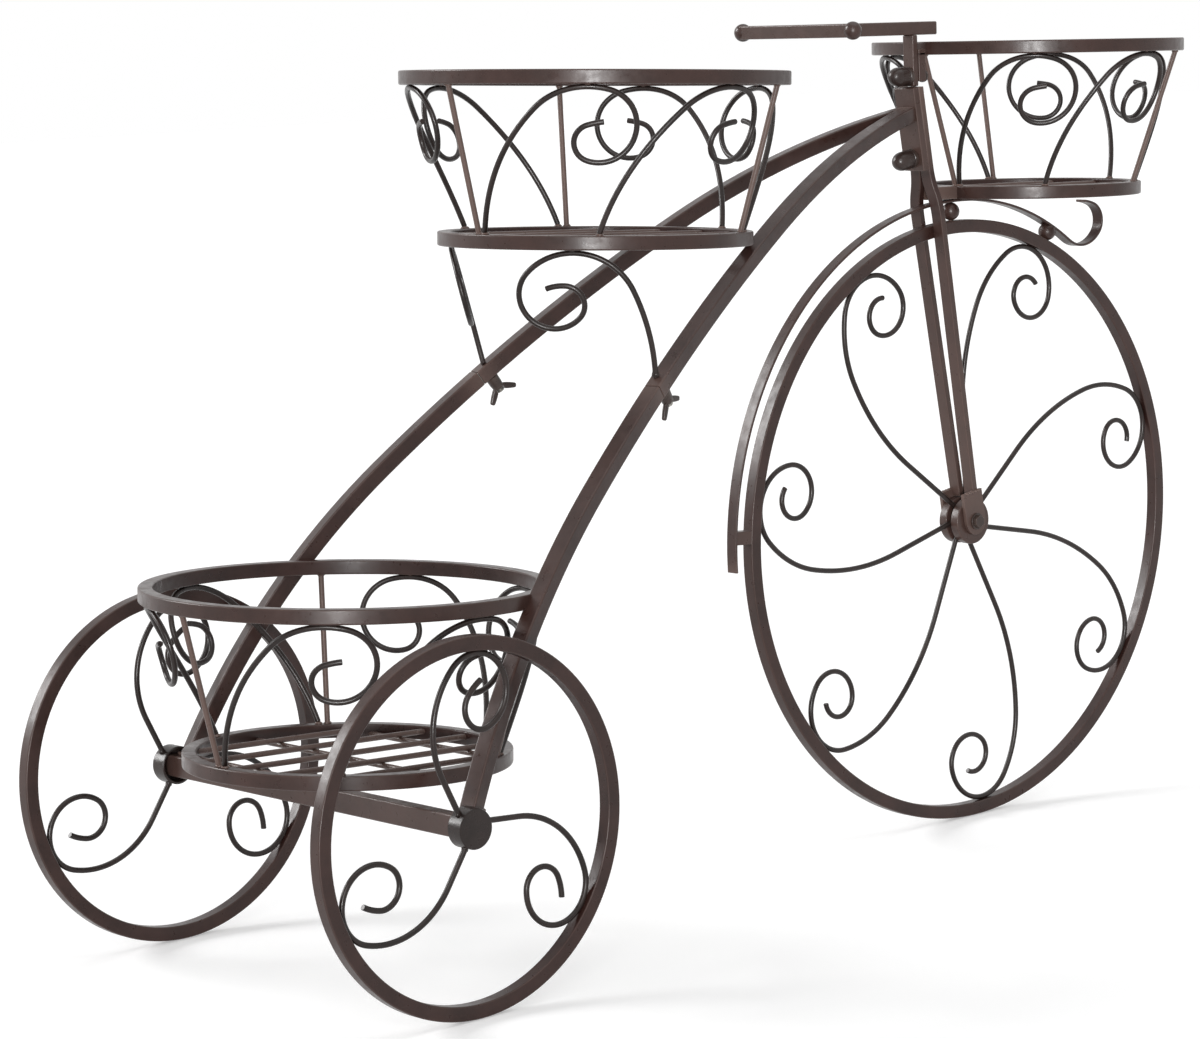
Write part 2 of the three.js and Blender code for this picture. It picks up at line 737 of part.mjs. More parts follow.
function fender() {
  const startAngle = rad(fenderStart);
  const line = new BentLine(
    [fenderRadius * Math.cos(startAngle), fenderRadius * Math.sin(startAngle)],
    fenderStart - up,
    [arc(fenderRadius, -fenderSweep), ...bends(fenderTailShares, fenderRadius)],
    barSagitta,
  );
  const clipFoot = rimCornerRadius + seatGap;
  const clip = box(fenderRadius - clipFoot, rimBar, rimBar, chained(
    turnZ(fenderClipAngle), move((clipFoot + fenderRadius) / 2, 0, 0),
  ));
  const wheelPlane = chained(frontAxle, upright);
  add('fender', joined(swept(boxSection(fenderWidth, fenderThickness), line), clip), wheelPlane);
  const inside = fenderRadius - fenderThickness / 2 - barSagitta;
  const ballRadius = (inside - rimCornerRadius) / 2 - seatGap;
  const strip = swept(boxSection(fenderWidth * 2, fenderThickness + 2 * seatGap), line);
  fenderBallAngles.forEach((angle, i) => {
    const ball = inFrame(new THREE.SphereGeometry(ballRadius, smallSides, smallSides / 2), chained(
      turnZ(angle), move((inside + rimCornerRadius) / 2, 0, 0),
    ));
    add(`fender_ball_${i + 1}`, cutOff(ball, strip), wheelPlane);
  });
}

// Baskets. The rear one's top ring meets the rails' inner faces, the middle one's bottom ring lies
// on the rails in front, and the front one hangs on the stem and the fork.

const stemFront = forkTopPlace.x + forkBarDepth / 2 + seatGap;

// Seen from above: a place along the rail's plane and `inside` it, as ahead of the axle and across.
function fromAbove(along, inside) {
  const toeIn = rad(railToeIn);
  return {
    ahead: along * Math.cos(toeIn) - inside * Math.sin(toeIn),
    across: railFootSpread - along * Math.sin(toeIn) - inside * Math.cos(toeIn),
  };
}

function rearBasketPlace() {
  const top = rearWheelRadius + rearBasketRise;
  const meets = railWhere((point) => point.y, top - basketBar / 2);
  const { ahead, across } = fromAbove(meets.x, railWidth / 2);
  const radius = rearBasket.topRadius - rearBasketBite;
  return { ahead: ahead - Math.sqrt(radius ** 2 - across ** 2), top };
}

function middleBasketPlace() {
  const ahead = middleBasketAheadShare * wheelbase;
  const fromMiddle = ({ x }) => {
    const place = fromAbove(x, 0);
    return place.ahead > ahead ? Math.hypot(place.ahead - ahead, place.across) : 0;
  };
  const meets = railWhere(fromMiddle, middleBasket.bottomRadius - basketBar / 2);
  return { ahead, top: meets.y + middleBasketRise };
}

Object.assign(rearBasket, rearBasketPlace());
Object.assign(middleBasket, middleBasketPlace());
Object.assign(frontBasket, {
  ahead: stemFront + upperLugGrip + frontBasket.topRadius,
  top: forkTopPlace.z + frontBasketRise,
});

const basketFrame = ({ ahead: x, top, tilt }) => chained(move(x, 0, top), turnY(tilt));

// The cone that a basket's wires lie on, from the bottom ring's top face to the top ring's underside.
function basketSide({ topRadius, bottomRadius, depth }) {
  const low = bottomRadius - basketBar / 2;
  const high = topRadius - basketBar / 2;
  const rise = depth - basketBar;
  const slant = Math.hypot(high - low, rise);
  const sine = (high - low) / slant;
  return { slant, rise, sine, cosine: rise / slant, apex: low / sine };
}

function scrollLine(basket) {
  const side = basketSide(basket);
  const foot = seatGap + wireRadius * (Math.cos(rad(basket.scrollHeading)) + side.sine);
  const build = (size) => new RolledLine(
    new BentLine([0, foot], basket.scrollHeading, bends(basket.scrollBendShares, size), wireSagitta),
    side,
    0,
  );
  return fitted(build, (point) => point.z, side.rise - wireRadius - seatGap);
}

function uprightWire(side, angle) {
  const at = (along) => new RolledLine(
    new THREE.LineCurve3(new THREE.Vector3(0, along, 0), new THREE.Vector3(0, along, 0)), side, angle,
  ).getPoint(0);
  return straightWire(at(-wireRadius), at(side.slant + wireRadius));
}

// Wires across a bottom ring, welded into it: one layer fore and aft, fewer crosswise below.
function floorWires(innerRadius) {
  const count = Math.floor((innerRadius - wireDiameter) / floorSpacing);
  const wires = [];
  for (let i = -count; i <= count; i += 1) {
    const offset = i * floorSpacing;
    const half = Math.sqrt((innerRadius + wireDiameter) ** 2 - offset ** 2);
    wires.push(straightWire(new THREE.Vector3(-half, offset, 0), new THREE.Vector3(half, offset, 0)));
    if (i % 2 === 0) {
      const low = -wireDiameter * floorLapShare;
      wires.push(straightWire(new THREE.Vector3(offset, -half, low), new THREE.Vector3(offset, half, low)));
    }
  }
  return wires;
}

// Lugs that carry a basket on the fork, welded to its rings; all in the basket's frame.
function basket(definition, lugs) {
  const { name, topRadius, bottomRadius, depth, uprights, besideGaps, between } = definition;
  const side = basketSide(definition);
  const frame = basketFrame(definition);
  const back = inverse(frame);
  const floorFace = -depth;
  const ringAt = (radius, face) => inFrame(
    ring(radius, basketBar, basketBar, ringSides),
    chained(move(0, 0, face - basketBar / 2), upright),
  );
  const rings = joined(
    ringAt(topRadius, 0),
    ringAt(bottomRadius, floorFace),
    ...uprights.map((angle) => inFrame(uprightWire(side, angle), move(0, 0, floorFace))),
    ...floorWires(bottomRadius - basketBar).map((bar) => inFrame(bar, move(0, 0, floorFace - floorDrop))),
    ...lugs.map((lug) => inFrame(lug, back)),
  );
  add(`${name}_frame`, cut(rings, ...railKeepout.map((rail) => inFrame(rail, back))), frame);

  const scroll = wire(scrollLine(definition));
  const beside = uprights.map((angle, i) => (
    angle + degrees((wireDiameter + besideGaps[i]) / (bottomRadius - basketBar / 2))
  ));
  beside.flatMap((angle, i) => [angle, between[i]]).forEach((angle, i) => add(
    `${name}_scroll_${i + 1}`,
    scroll,
    chained(frame, move(0, 0, floorFace), turnZ(angle)),
    coatedWire(),
  ));
}

function frontLugs() {
  const hook = upperLugGrip + basketBar / 2;
  const hookMiddle = frontBasket.top - basketBar / 2;
  const upperLug = cut(
    joined(
      box(hook, lugWidth, basketBar / 2, move(stemFront + hook / 2, 0, hookMiddle)),
      box(upperLugGrip, lugWidth, upperLugHeight, move(
        stemFront + upperLugGrip / 2, 0, hookMiddle - upperLugHeight / 2,
      )),
    ),
    inFrame(disc(boltHoleRadius, hook * 4, 0, smallSides), chained(
      move(stemFront, 0, upperBoltHeight), turnZ(up),
    )),
  );
  const reach = frontBasket.bottomRadius;
  const bracket = cut(
    box(reach, lugWidth, basketBar, chained(
      basketFrame(frontBasket),
      move(basketBar / 2 - reach - reach / 2, 0, -frontBasket.depth - basketBar / 2),
    )),
    box(lugWidth * 2, forkTop * 2, reach * 2, chained(
      forkFrame, move(0, forkTop / 2, forkBarDepth / 2 + seatGap - reach),
    )),
  );
  return [upperLug, bracket];
}

// Scroll legs in the planes that lean with the middle basket's side

function scrollLegs() {
  const side = basketSide(middleBasket);
  const lean = degrees(Math.asin(side.sine));
  const contact = middleBasket.bottomRadius - legInset;
  const underside = -middleBasket.depth - basketBar;
  const build = (start, sign) => new BentLine(
    start, up + sign * (legHeading - up), [run(legLead + cutOverrun), ...bends(legBendShares, legRise).map(
      ({ length, turn }) => ({ length, turn: sign * turn }),
    )], wireSagitta,
  );
  for (const { side: name, sign } of sides) {
    const angle = sign * (fullTurn - legAngle);
    const top = peak(build([0, 0], -sign), (point) => point.y).point;
    const line = build([-top.x, -top.y - (wireRadius + seatGap) / side.cosine], -sign);
    const plane = chained(
      basketFrame(middleBasket), turnZ(angle), move(contact, 0, underside), turnZ(up), turnX(up + lean),
    );
    const back = inverse(plane);
    const leg = cutOff(wire(line), ...railKeepout.map((rail) => inFrame(rail, back)));
    add(`scroll_leg_${name}`, leg, plane, coatedWire());
  }
}

rearWheels();
rails();
spigots();
wingNuts();
frontWheel();
fork();
head();
fender();
basket(rearBasket, []);
basket(middleBasket, []);
basket(frontBasket, frontLugs());
scrollLegs();

export default planter;
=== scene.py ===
"""Looks of a tricycle-shaped planter: bent bar and wire with a dark brown coat.

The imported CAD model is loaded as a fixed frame. Each of its nodes is then replaced by a finer piece,
bent, spun and bevelled here from the same sizes. Lengths are in millimetres and angles in degrees
until a form becomes a piece; pieces are in metres.
"""

from __future__ import annotations

import json
import logging
import math
import random
from collections.abc import Callable, Iterable, Sequence
from dataclasses import dataclass
from enum import Enum
from functools import cached_property

import bmesh
import bpy
from mathutils import Matrix, Vector, noise

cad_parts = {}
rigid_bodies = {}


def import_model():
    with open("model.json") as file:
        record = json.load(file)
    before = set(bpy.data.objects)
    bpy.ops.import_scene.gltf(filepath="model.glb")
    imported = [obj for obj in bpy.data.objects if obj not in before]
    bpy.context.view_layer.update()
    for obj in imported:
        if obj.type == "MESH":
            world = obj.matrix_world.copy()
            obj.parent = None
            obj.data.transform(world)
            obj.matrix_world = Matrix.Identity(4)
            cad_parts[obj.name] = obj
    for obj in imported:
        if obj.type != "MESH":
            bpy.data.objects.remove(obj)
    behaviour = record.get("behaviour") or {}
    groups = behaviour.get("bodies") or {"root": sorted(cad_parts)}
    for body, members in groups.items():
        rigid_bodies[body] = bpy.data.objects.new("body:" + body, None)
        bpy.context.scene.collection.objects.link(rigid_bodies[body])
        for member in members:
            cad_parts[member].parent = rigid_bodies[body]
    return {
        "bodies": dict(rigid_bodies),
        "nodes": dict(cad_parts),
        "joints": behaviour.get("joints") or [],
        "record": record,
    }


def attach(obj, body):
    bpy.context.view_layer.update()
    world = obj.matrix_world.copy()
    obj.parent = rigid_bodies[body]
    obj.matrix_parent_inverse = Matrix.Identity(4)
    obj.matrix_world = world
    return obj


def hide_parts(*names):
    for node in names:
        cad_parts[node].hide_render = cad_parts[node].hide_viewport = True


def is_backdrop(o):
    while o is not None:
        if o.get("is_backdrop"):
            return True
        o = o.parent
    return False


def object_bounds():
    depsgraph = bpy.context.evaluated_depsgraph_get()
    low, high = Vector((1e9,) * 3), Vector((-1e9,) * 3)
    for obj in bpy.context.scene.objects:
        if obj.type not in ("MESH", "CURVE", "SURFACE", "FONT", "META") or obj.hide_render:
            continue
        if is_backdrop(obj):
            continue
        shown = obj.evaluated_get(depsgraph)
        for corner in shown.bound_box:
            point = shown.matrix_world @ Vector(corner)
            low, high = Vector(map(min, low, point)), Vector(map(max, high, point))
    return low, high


LOG = logging.getLogger("planter")
METRES = 0.001

# Stock, in millimetres. What is welded or seated stands a gap away, and an overrun is cut off again.
WIRE_RADIUS = 2.0
BAR = 10.0
BOLT_RADIUS = 3.0
GAP = 0.3
OVERRUN = 30.0

# How finely round shapes are made.
WIRE_SIDES = 14
CORNER_STEPS = 4
SAGITTA = 0.03
LARGEST_STEP = math.radians(9)
SHARP = math.radians(40)
MERGED = 1e-3

# The patterns in the coat, in millimetres, and how much it reflects.
CLOUD_SIZE = 26
SPECK_SIZE = 2.4
GLOSS_SIZE = 8
WAVE_SIZE = 7
SHEEN = 0.3

Shares = tuple[tuple[float, float], ...]
Colour = tuple[float, float, float]
SIDES = (("left", 1), ("right", -1))


def move(x: float, y: float, z: float) -> Matrix:
    """Makes a frame that is moved forwards, to the left and up."""
    return Matrix.Translation((x, y, z))


def turn(axis: str, angle: float) -> Matrix:
    """Makes a frame that is turned about an axis, in degrees."""
    return Matrix.Rotation(math.radians(angle), 4, axis)


def chained(*frames: Matrix) -> Matrix:
    """Multiplies frames, from the outermost to the innermost.

    Args:
        *frames: The frames.

    Returns:
        Their product.
    """
    product = Matrix.Identity(4)
    for frame in frames:
        product = product @ frame
    return product


@dataclass(frozen=True)
class Stretch:
    """A straight stretch or an arc of a bent line.

    Attributes:
        length: Its length.
        turn: How far it turns to the left, in radians.
    """

    length: float
    turn: float = 0.0

    @property
    def steps(self) -> int:
        """How many facets an arc needs."""
        chord = math.sqrt(8 * SAGITTA * self.length / abs(self.turn))
        return max(1, math.ceil(self.length / chord), math.ceil(abs(self.turn) / LARGEST_STEP))

    def part(self, share: float) -> Stretch:
        """Takes a share of the stretch."""
        return Stretch(self.length * share, self.turn * share)


@dataclass(frozen=True)
class Place:
    """A place on a bent line, with the line's heading there in radians."""

    x: float
    y: float
    heading: float

    @property
    def frame(self) -> Matrix:
        """The frame here: X runs along the line, and Z out of its plane."""
        return move(self.x, self.y, 0) @ Matrix.Rotation(self.heading, 4, "Z")

    @property
    def point(self) -> Vector:
        """The place as a point."""
        return Vector((self.x, self.y, 0))

    def ahead(self, stretch: Stretch) -> Place:
        """Finds the place at the end of a stretch that starts here.

        Args:
            stretch: The stretch.

        Returns:
            The place.
        """
        half = stretch.turn / 2
        chord = stretch.length * (math.sin(half) / half if half else 1.0)
        heading = self.heading + half
        return Place(
            self.x + chord * math.cos(heading), self.y + chord * math.sin(heading), heading + half
        )

    def centre(self, arc: Stretch) -> Vector:
        """Finds the middle of an arc that starts here."""
        return self.frame @ Vector((0, arc.length / arc.turn, 0))


@dataclass(frozen=True)
class BentLine:
    """Straight stretches and arcs laid end to end in the XY plane, as bar is bent on a jig."""

    start: Place
    stretches: tuple[Stretch, ...]

    @staticmethod
    def of(x: float, y: float, heading: float, *stretches: Stretch) -> BentLine:
        """Lays stretches from a point, with the first heading in degrees."""
        return BentLine(Place(x, y, math.radians(heading)), stretches)

    @property
    def length(self) -> float:
        """The whole length."""
        return sum(stretch.length for stretch in self.stretches)

    def at(self, distance: float) -> Place:
        """Finds the place at a distance along the line.

        Args:
            distance: The distance from the start.

        Returns:
            The place.
        """
        place = self.start
        for stretch in self.stretches:
            if distance <= stretch.length:
                return place.ahead(stretch.part(distance / stretch.length))
            place = place.ahead(stretch)
            distance -= stretch.length
        return place

    def part(self, first: float, last: float) -> BentLine:
        """Takes the line between two distances.

        Args:
            first: Where the part starts.
            last: Where it ends.

        Returns:
            The part.
        """
        kept, passed = [], 0.0
        for stretch in self.stretches:
            low, high = max(passed, first), min(passed + stretch.length, last)
            if high > low:
                kept.append(stretch.part((high - low) / stretch.length))
            passed += stretch.length
        return BentLine(self.at(first), tuple(kept))

    def places(self, step: float) -> list[Place]:
        """Walks along the line in equal steps of about a length."""
        count = math.ceil(self.length / step)
        return [self.at(self.length * i / count) for i in range(count + 1)]


def bends(shares: Shares, size: float, hand: int = 1) -> list[Stretch]:
    """Makes arcs from shares of a size.

    Args:
        shares: The radius as a share of the size, and the sweep in degrees, of each arc.
        size: The size.
        hand: -1 mirrors the arcs.

    Returns:
        The arcs.
    """
    return [
        Stretch(share * size * abs(math.radians(sweep)), hand * math.radians(sweep))
        for share, sweep in shares
    ]


def fitted(
    build: Callable[[float], BentLine], measure: Callable[[Place], float], target: float
) -> BentLine:
    """Scales a line until its greatest measure is the target.

    Args:
        build: Makes the line for a size.
        measure: What is measured at each of its places.
        target: The wanted greatest measure.

    Returns:
        The line.
    """
    size = target
    for _ in range(8):
        size *= target / max(map(measure, build(size).places(1.0)))
    return build(size)


def bent_between(first: Vector, last: Vector, shares: Shares, overrun: float) -> BentLine:
    """Lays arcs from one point to another, with a straight overrun before them.

    Args:
        first: Where the arcs start.
        last: Where they end.
        shares: The arcs' proportions and sweeps.
        overrun: The length of the overrun.

    Returns:
        The line.
    """
    unit = BentLine.of(0, 0, 0, *bends(shares, 1))
    reached = unit.at(unit.length).point
    reach = last - first
    heading = math.atan2(reach.y, reach.x) - math.atan2(reached.y, reached.x)
    start = Place(first.x, first.y, heading).ahead(Stretch(-overrun))
    return BentLine(start, (Stretch(overrun), *bends(shares, reach.length / reached.length)))


@dataclass(frozen=True)
class Stock:
    """Bar or wire that pieces are bent from.

    Attributes:
        width: Its size across the plane that it is bent in.
        depth: Its size in that plane.
        corner: The radius of its corners, which is half its width for wire.
    """

    width: float
    depth: float
    corner: float

    def section(self, mesh: bmesh.types.BMesh) -> bmesh.types.BMFace:
        """Makes the section as a face across X, its width along Z.

        Args:
            mesh: The mesh that it starts.

        Returns:
            The face.
        """
        if 2 * self.corner >= self.width:
            bmesh.ops.create_circle(mesh, cap_ends=True, radius=self.corner, segments=WIRE_SIDES)
        else:
            bmesh.ops.create_grid(mesh, x_segments=1, y_segments=1, size=0.5)
            bmesh.ops.scale(mesh, vec=(self.width, self.depth, 1), verts=mesh.verts)
            bmesh.ops.bevel(
                mesh, geom=mesh.verts[:], offset=self.corner, segments=CORNER_STEPS, profile=0.5,
                affect="VERTICES", material=-1,
            )
        bmesh.ops.transform(mesh, matrix=turn("Y", 90), verts=mesh.verts)
        return mesh.faces[:][0]


WIRE = Stock(2 * WIRE_RADIUS, 2 * WIRE_RADIUS, WIRE_RADIUS)
SQUARE_BAR = Stock(BAR, BAR, 1.1)


class Form:
    """A mesh that operators shape, in millimetres, before it becomes a piece."""

    def __init__(self) -> None:
        """Starts with nothing."""
        self.mesh = bmesh.new()

    def _of_kind(self, items: Iterable, kind: type) -> list:
        """Picks the vertices, edges or faces out of an operator's result."""
        return [item for item in items if isinstance(item, kind)]

    def _soften(self, edges: Iterable[bmesh.types.BMEdge], radius: float, segments: int) -> None:
        """Rounds edges off.

        Args:
            edges: The edges.
            radius: How far they are rounded.
            segments: The facets across each.
        """
        bmesh.ops.bevel(
            self.mesh, geom=list(edges), offset=radius, segments=segments, profile=0.5,
            affect="EDGES", material=-1, clamp_overlap=True,
        )

    def _soften_caps(self, caps: Iterable[bmesh.types.BMFace], radius: float, segments: int) -> None:
        """Rounds the edges of end faces off."""
        self._soften(dict.fromkeys(edge for cap in caps for edge in cap.edges), radius, segments)

    def _shift(self, grown: Iterable, way: Vector) -> None:
        """Moves what an extrusion has grown."""
        bmesh.ops.translate(self.mesh, vec=way, verts=self._of_kind(grown, bmesh.types.BMVert))

    def _outline(self, points: Sequence[tuple[float, float]], closed: bool = False) -> list:
        """Joins points of the XZ plane up.

        Args:
            points: Radius and height of each point.
            closed: Whether the last point is joined to the first.

        Returns:
            The vertices and edges.
        """
        verts = [self.mesh.verts.new((radius, 0, height)) for radius, height in points]
        nexts = verts[1:] + verts[:1] if closed else verts[1:]
        return verts + [self.mesh.edges.new(pair) for pair in zip(verts, nexts)]

    def placed(self, frame: Matrix) -> Form:
        """Copies the form into a frame.

        Args:
            frame: The frame.

        Returns:
            The copy.
        """
        copy = Form()
        copy.mesh = self.mesh.copy()
        bmesh.ops.transform(copy.mesh, matrix=frame, verts=copy.mesh.verts)
        return copy

    def take(self, *others: Form) -> Form:
        """Takes other forms' meshes over.

        Args:
            *others: The other forms, which are used up.

        Returns:
            This form.
        """
        for other in others:
            data = bpy.data.meshes.new("taken")
            other.mesh.to_mesh(data)
            other.mesh.free()
            self.mesh.from_mesh(data)
            bpy.data.meshes.remove(data)
        return self

    def bent(self, line: BentLine, stock: Stock, soft: float = 0.4) -> Form:
        """Extrudes stock over a line's straight stretches and spins it round the arcs.

        Args:
            line: The line.
            stock: The stock.
            soft: How far the edges of its two ends are rounded.

        Returns:
            This form.
        """
        first = stock.section(self.mesh)
        bmesh.ops.transform(self.mesh, matrix=line.start.frame, verts=self.mesh.verts)
        place, end = line.start, [first]
        for stretch in line.stretches:
            if stretch.turn:
                spun = bmesh.ops.spin(
                    self.mesh, geom=end, cent=place.centre(stretch), axis=(0, 0, 1),
                    angle=stretch.turn, steps=stretch.steps, use_merge=False,
                )
                end = spun["geom_last"]
                place = place.ahead(stretch)
            else:
                end = bmesh.ops.extrude_face_region(self.mesh, geom=end)["geom"]
                there = place.ahead(stretch)
                self._shift(end, there.point - place.point)
                place = there
        self._soften_caps([first, *self._of_kind(end, bmesh.types.BMFace)], soft, 2)
        return self

    def ring(self, outer: float, stock: Stock, sides: int) -> Form:
        """Spins stock right round Z, with its top face at height zero.

        Args:
            outer: The outer radius.
            stock: The stock.
            sides: The steps round it.

        Returns:
            This form.
        """
        section = stock.section(self.mesh)
        middle = move(outer - stock.depth / 2, 0, -stock.width / 2)
        bmesh.ops.transform(self.mesh, matrix=middle @ turn("Z", -90), verts=self.mesh.verts)
        bmesh.ops.delete(self.mesh, geom=[section], context="FACES_ONLY")
        return self._spun(self.mesh.verts[:] + self.mesh.edges[:], sides)

    def turned(self, profile: Sequence[tuple[float, float]], sides: int, bored: bool = False) -> Form:
        """Spins a profile right round Z, as on a lathe.

        Args:
            profile: Radius and height of each of its points.
            sides: The steps round it.
            bored: Whether the profile closes on itself, and not on the axis.

        Returns:
            This form.
        """
        return self._spun(self._outline(profile, bored), sides)

    def _spun(self, outline: list, sides: int) -> Form:
        """Spins an outline right round Z and closes its seam and poles.

        Args:
            outline: The vertices and edges.
            sides: The steps round it.

        Returns:
            This form.
        """
        bmesh.ops.spin(
            self.mesh, geom=outline, cent=(0, 0, 0), axis=(0, 0, 1), angle=math.tau, steps=sides,
            use_merge=True,
        )
        bmesh.ops.remove_doubles(self.mesh, verts=self.mesh.verts, dist=1e-4)
        return self

    def prism(self, radius: float, height: float, sides: int, soft: float) -> Form:
        """Stands a disc, or a nut's hexagon, on height zero.

        Args:
            radius: Its outer radius.
            height: Its height.
            sides: Its number of sides.
            soft: How far the edges of its two faces are rounded.

        Returns:
            This form.
        """
        bmesh.ops.create_cone(
            self.mesh, cap_ends=True, segments=sides, radius1=radius, radius2=radius, depth=height,
            matrix=move(0, 0, height / 2),
        )
        self._soften_caps([face for face in self.mesh.faces if len(face.verts) == sides], soft, 3)
        return self

    def ball(self, radius: float) -> Form:
        """Makes a ball."""
        bmesh.ops.create_uvsphere(self.mesh, u_segments=32, v_segments=20, radius=radius)
        return self

    def block(self, x: float, y: float, z: float, soft: float = 0.9) -> Form:
        """Makes a block about its middle, with rounded edges.

        Args:
            x: Its length along X.
            y: Its length along Y.
            z: Its length along Z.
            soft: How far its edges are rounded.

        Returns:
            This form.
        """
        bmesh.ops.create_cube(self.mesh, size=1.0, matrix=Matrix.Diagonal((x, y, z, 1)))
        self._soften(self.mesh.edges[:], soft, CORNER_STEPS)
        return self

    def plate(self, radius: float, lap: float, thickness: float) -> Form:
        """Makes a plate across Z that is square at one end and round at the other.

        Args:
            radius: Half its width, and the radius of its round end about the origin.
            lap: How far it goes along Y to its square end.
            thickness: Its thickness.

        Returns:
            This form.
        """
        bmesh.ops.create_grid(self.mesh, x_segments=1, y_segments=1, size=0.5)
        middle = move(0, (lap - radius) / 2, -thickness / 2)
        size = Matrix.Diagonal((2 * radius, lap + radius, 1, 1))
        bmesh.ops.transform(self.mesh, matrix=middle @ size, verts=self.mesh.verts)
        bmesh.ops.bevel(
            self.mesh, geom=[vert for vert in self.mesh.verts if vert.co.y < 0], offset=radius,
            segments=12, profile=0.5, affect="VERTICES", material=-1, clamp_overlap=False,
        )
        bmesh.ops.remove_doubles(self.mesh, verts=self.mesh.verts, dist=MERGED)
        grown = bmesh.ops.extrude_face_region(self.mesh, geom=self.mesh.faces[:])["geom"]
        self._shift(grown, Vector((0, 0, thickness)))
        self._soften_caps([face for face in self.mesh.faces if len(face.verts) > 4], 0.35, 2)
        return self

    def thread(self, radius: float, length: float) -> Form:
        """Winds a screw thread up Z from height zero.

        Args:
            radius: Its outer radius.
            length: Its length.

        Returns:
            This form.
        """
        pitch, depth, steps = 1.0, 0.55, 16
        turns = math.ceil(length / pitch) + 2
        flank = ((radius - depth, -pitch), (radius, -pitch / 2), (radius - depth, 0))
        bmesh.ops.spin(
            self.mesh, geom=self._outline(flank), cent=(0, 0, 0), axis=(0, 0, 1),
            dvec=(0, 0, pitch / steps), angle=math.tau * turns, steps=steps * turns, use_merge=False,
        )
        bmesh.ops.remove_doubles(self.mesh, verts=self.mesh.verts, dist=MERGED)
        self.cut(Vector((0, 0, 0)), Vector((0, 0, -1)))
        return self.cut(Vector((0, 0, length)), Vector((0, 0, 1)))

    def bead(self, point: Vector, radius: float, flat: float = 0.7) -> Form:
        """Adds an uneven weld bead, whose shape follows from its place.

        Args:
            point: Its middle.
            radius: Its radius.
            flat: How high it is, as a share of the radius.

        Returns:
            This form.
        """
        spin = random.Random(repr(tuple(round(value, 2) for value in point))).uniform(0, 360)
        size = Matrix.Diagonal((radius, 0.9 * radius, flat * radius, 1))
        made = bmesh.ops.create_icosphere(
            self.mesh, subdivisions=2, radius=1,
            matrix=chained(Matrix.Translation(point), turn("Z", spin), size),
        )
        for vert in made["verts"]:
            vert.co += (vert.co - point) * 0.22 * noise.noise(vert.co * 0.45)
        return self

    def cut(self, point: Vector, beyond: Vector) -> Form:
        """Cuts off what lies beyond a plane and closes the cut.

        Args:
            point: A point of the plane.
            beyond: The direction of what goes.

        Returns:
            This form.
        """
        made = bmesh.ops.bisect_plane(
            self.mesh, geom=self.mesh.verts[:] + self.mesh.edges[:] + self.mesh.faces[:], dist=1e-5,
            plane_co=point, plane_no=beyond, clear_outer=True,
        )
        edges = self._of_kind(made["geom_cut"], bmesh.types.BMEdge)
        if edges:
            bmesh.ops.holes_fill(self.mesh, edges=edges, sides=0)
        return self


class Finish(Enum):
    """The finishes that pieces have."""

    BAR = "bar"
    WIRE = "wire"
    HARDWARE = "hardware"
    STEEL = "steel"


@dataclass(frozen=True)
class Coat:
    """What a finish looks like, and the name of a record's material slot.

    Attributes:
        slot: The record's material slot. It is not used.
        dark: The colour of most of the surface.
        light: The colour of its paler clouds.
        worn: The paler colour of its edges, a painted highlight.
        wear: How strongly that painted highlight shows.
        roughness: How rough it is on average.
        metallic: From 0, paint, to 1, bare metal.
        grain: The width of its finest grain.
    """

    slot: str
    dark: Colour
    light: Colour
    worn: Colour
    wear: float
    roughness: float
    metallic: float
    grain: float

    def material(self, name: str) -> bpy.types.Material:
        """Makes a clouded, slightly uneven coat, with a painted highlight that makes its edges paler.

        Args:
            name: The material's name.

        Returns:
            The material.
        """
        material = bpy.data.materials.new(name)
        material.use_nodes = True
        bench = Bench(material.node_tree)
        shader = material.node_tree.nodes["Principled BSDF"]
        clouds = bench.spread(bench.cloud(CLOUD_SIZE, 3), (0.36, 0.66), (0, 1))
        specks = bench.spread(bench.cloud(SPECK_SIZE, 5), (0.50, 0.72), (0, 0.5))
        # Convex edges get a paler colour here: a painted highlight along them.
        edges = bench.spread(bench.pointiness(), (0.515, 0.575), (0, self.wear))
        colour = bench.blended(clouds, self.dark, self.light)
        colour = bench.blended(specks, colour, self.light)
        bench.link(bench.blended(edges, colour, self.worn), shader.inputs["Base Color"])
        rougher = self.roughness - 0.06, self.roughness + 0.10
        rough = bench.spread(bench.cloud(GLOSS_SIZE, 4), (0.3, 0.7), rougher)
        bench.link(rough, shader.inputs["Roughness"])
        shader.inputs["Metallic"].default_value = self.metallic
        shader.inputs["Specular IOR Level"].default_value = SHEEN
        uneven = bench.bump(bench.cloud(WAVE_SIZE, 2), 0.25, 0.25)
        bench.link(bench.bump(bench.cloud(self.grain, 2), 0.35, 0.05, uneven), shader.inputs["Normal"])
        return material


# In each coat, the third colour and the number after it are a painted highlight on the edges and how
# strongly it shows.
COATS = {
    Finish.BAR: Coat(
        "coated_bar", (0.0150, 0.0056, 0.0042), (0.028, 0.0120, 0.0096), (0.12, 0.080, 0.068), 0.75,
        0.31, 0.0, 0.7,
    ),
    Finish.WIRE: Coat(
        "coated_wire", (0.0085, 0.0052, 0.0044), (0.018, 0.0115, 0.0100), (0.08, 0.06, 0.05), 0.0,
        0.28, 0.0, 0.6,
    ),
    Finish.HARDWARE: Coat(
        "coated_bar", (0.012, 0.0070, 0.0060), (0.024, 0.015, 0.013), (0.09, 0.065, 0.055), 0.5,
        0.28, 0.0, 0.5,
    ),
    Finish.STEEL: Coat(
        "bare_steel", (0.200, 0.190, 0.175), (0.330, 0.315, 0.290), (0.480, 0.460, 0.430), 0.5,
        0.38, 0.9, 0.4,
    ),
}


